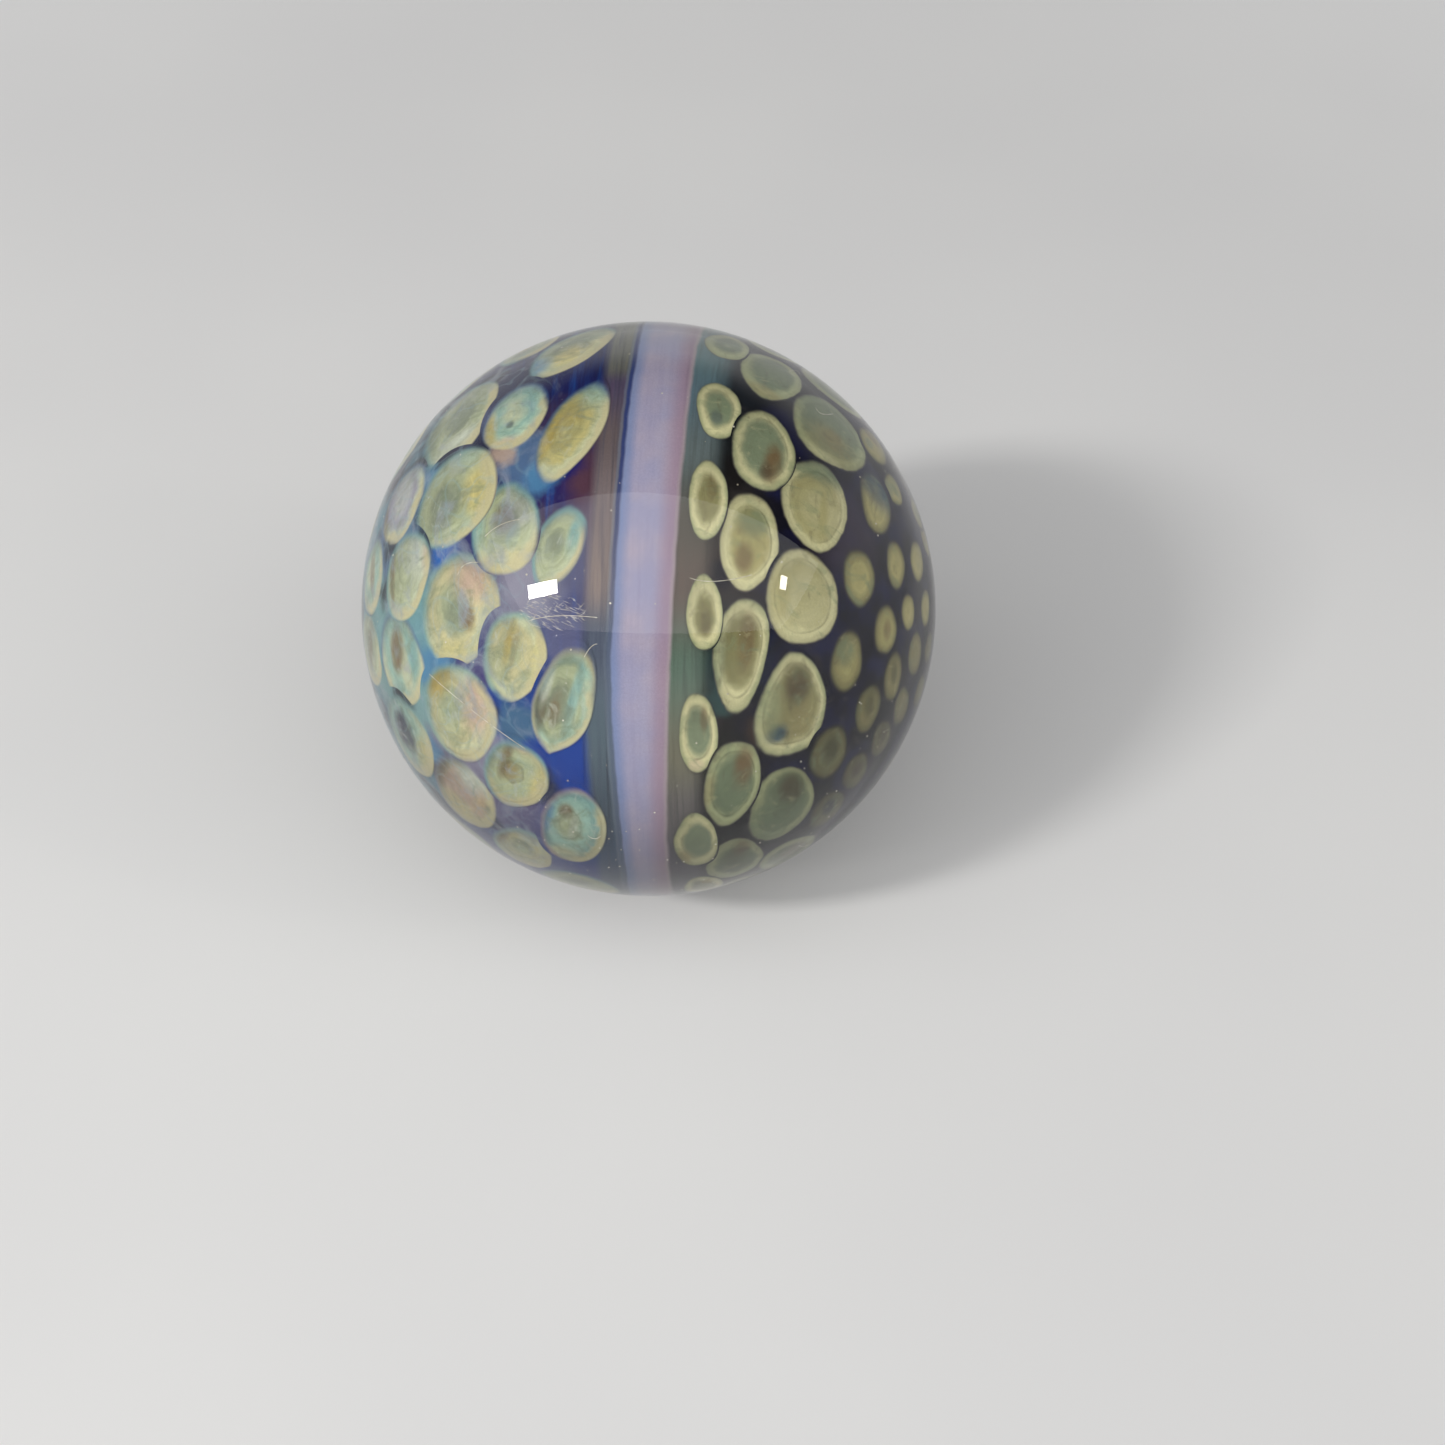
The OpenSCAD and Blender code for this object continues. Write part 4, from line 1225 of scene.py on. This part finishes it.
def soft_lamp(name, place, aim, size, watts, colour=(1, 1, 1), spin=0):
    """A lamp of (width, height) metres that faces against a direction, spun about its own axis."""
    data = bpy.data.lights.new(name, "AREA")
    data.shape, (data.size, data.size_y), data.energy, data.color = "RECTANGLE", size, watts, colour
    aimed = aim.to_track_quat("Z", "Y").to_matrix() @ Matrix.Rotation(math.radians(spin), 3, "Z")
    add_object(name, data).matrix_world = Matrix.Translation(place) @ aimed.to_4x4()


def background_seen(net):
    """1 for rays that show the background: straight from the camera, or by way of the glass."""
    path = net.put("LightPath").outputs
    mirrored = net.calc("MAXIMUM", path["Is Glossy Ray"], path["Is Transmission Ray"])
    return net.calc("MAXIMUM", path["Is Camera Ray"], mirrored)


def make_light():
    """Two lamps, a wide soft ceiling lamp, and a room that is dim but looks pale in the glass."""
    for name, spot, size, watts, spin, colour in MIRRORED_LAMPS:
        way = seen_by_mirror(*spot)
        soft_lamp(name, way * LAMP_DISTANCE, way, size, watts, colour, spin)
    soft_lamp("ceiling", CEILING_PLACE, Vector((0, 0, 1)), CEILING_SIZE, CEILING_WATTS)
    world = bpy.data.worlds.new("room")
    net = Net(world)
    sky = net.put("Background", {"Color": ROOM_LIGHT, "Strength": ROOM_STRENGTH})
    height = net.put("SeparateXYZ", {0: net.put("TexCoord").outputs["Generated"]}).outputs[2]
    dim = net.ramp(height, WALL_TOP, CEILING_AT, 1.0, CEILING_TONE)
    wall = net.put("Background", {"Color": BACKDROP, "Strength": dim})
    net.show(net.mix_shaders(background_seen(net), sky.outputs[0], wall.outputs[0]), "OutputWorld")
    bpy.context.scene.world = world


def make_floor():
    """A plain pale floor that the ball stands on, which runs out into a paler sweep."""
    net = new_net("pale_floor")
    mottle = net.noise(net.place_mm(), 0.02, 2.0)
    colour = net.lay((0.8, 0.8, 0.8, 1), (0.83, 0.83, 0.825, 1), mottle, 0.3, 0.7)
    matt = net.put("BsdfPrincipled", {"Base Color": colour, "Roughness": 0.9, "Specular IOR Level": 0.1})
    sweep = net.put("Emission", {"Color": BACKDROP, "Strength": 1.0})
    far = net.ramp(net.distance("LENGTH", net.place()), SWEEP_NEAR, SWEEP_FAR)
    share = net.mul(far, background_seen(net))
    mesh = bpy.data.meshes.new("floor")
    corners = [(x * FLOOR_HALF, y * FLOOR_HALF, -R) for x, y in ((-1, -1), (1, -1), (1, 1), (-1, 1))]
    mesh.from_pydata(corners, [], [(0, 1, 2, 3)])
    mesh.materials.append(net.show(net.mix_shaders(share, matt.outputs[0], sweep.outputs[0])))
    add_object("floor", mesh)


def main():
    rng = random.Random(7)
    clear_ball()
    build_cells(rng)
    build_fine_dots(rng)
    build_plain_dots(rng)
    build_grounds()
    build_dust(rng)
    make_floor()
    make_light()
    make_camera()
    bpy.context.scene.view_settings.view_transform = "Standard"


main()
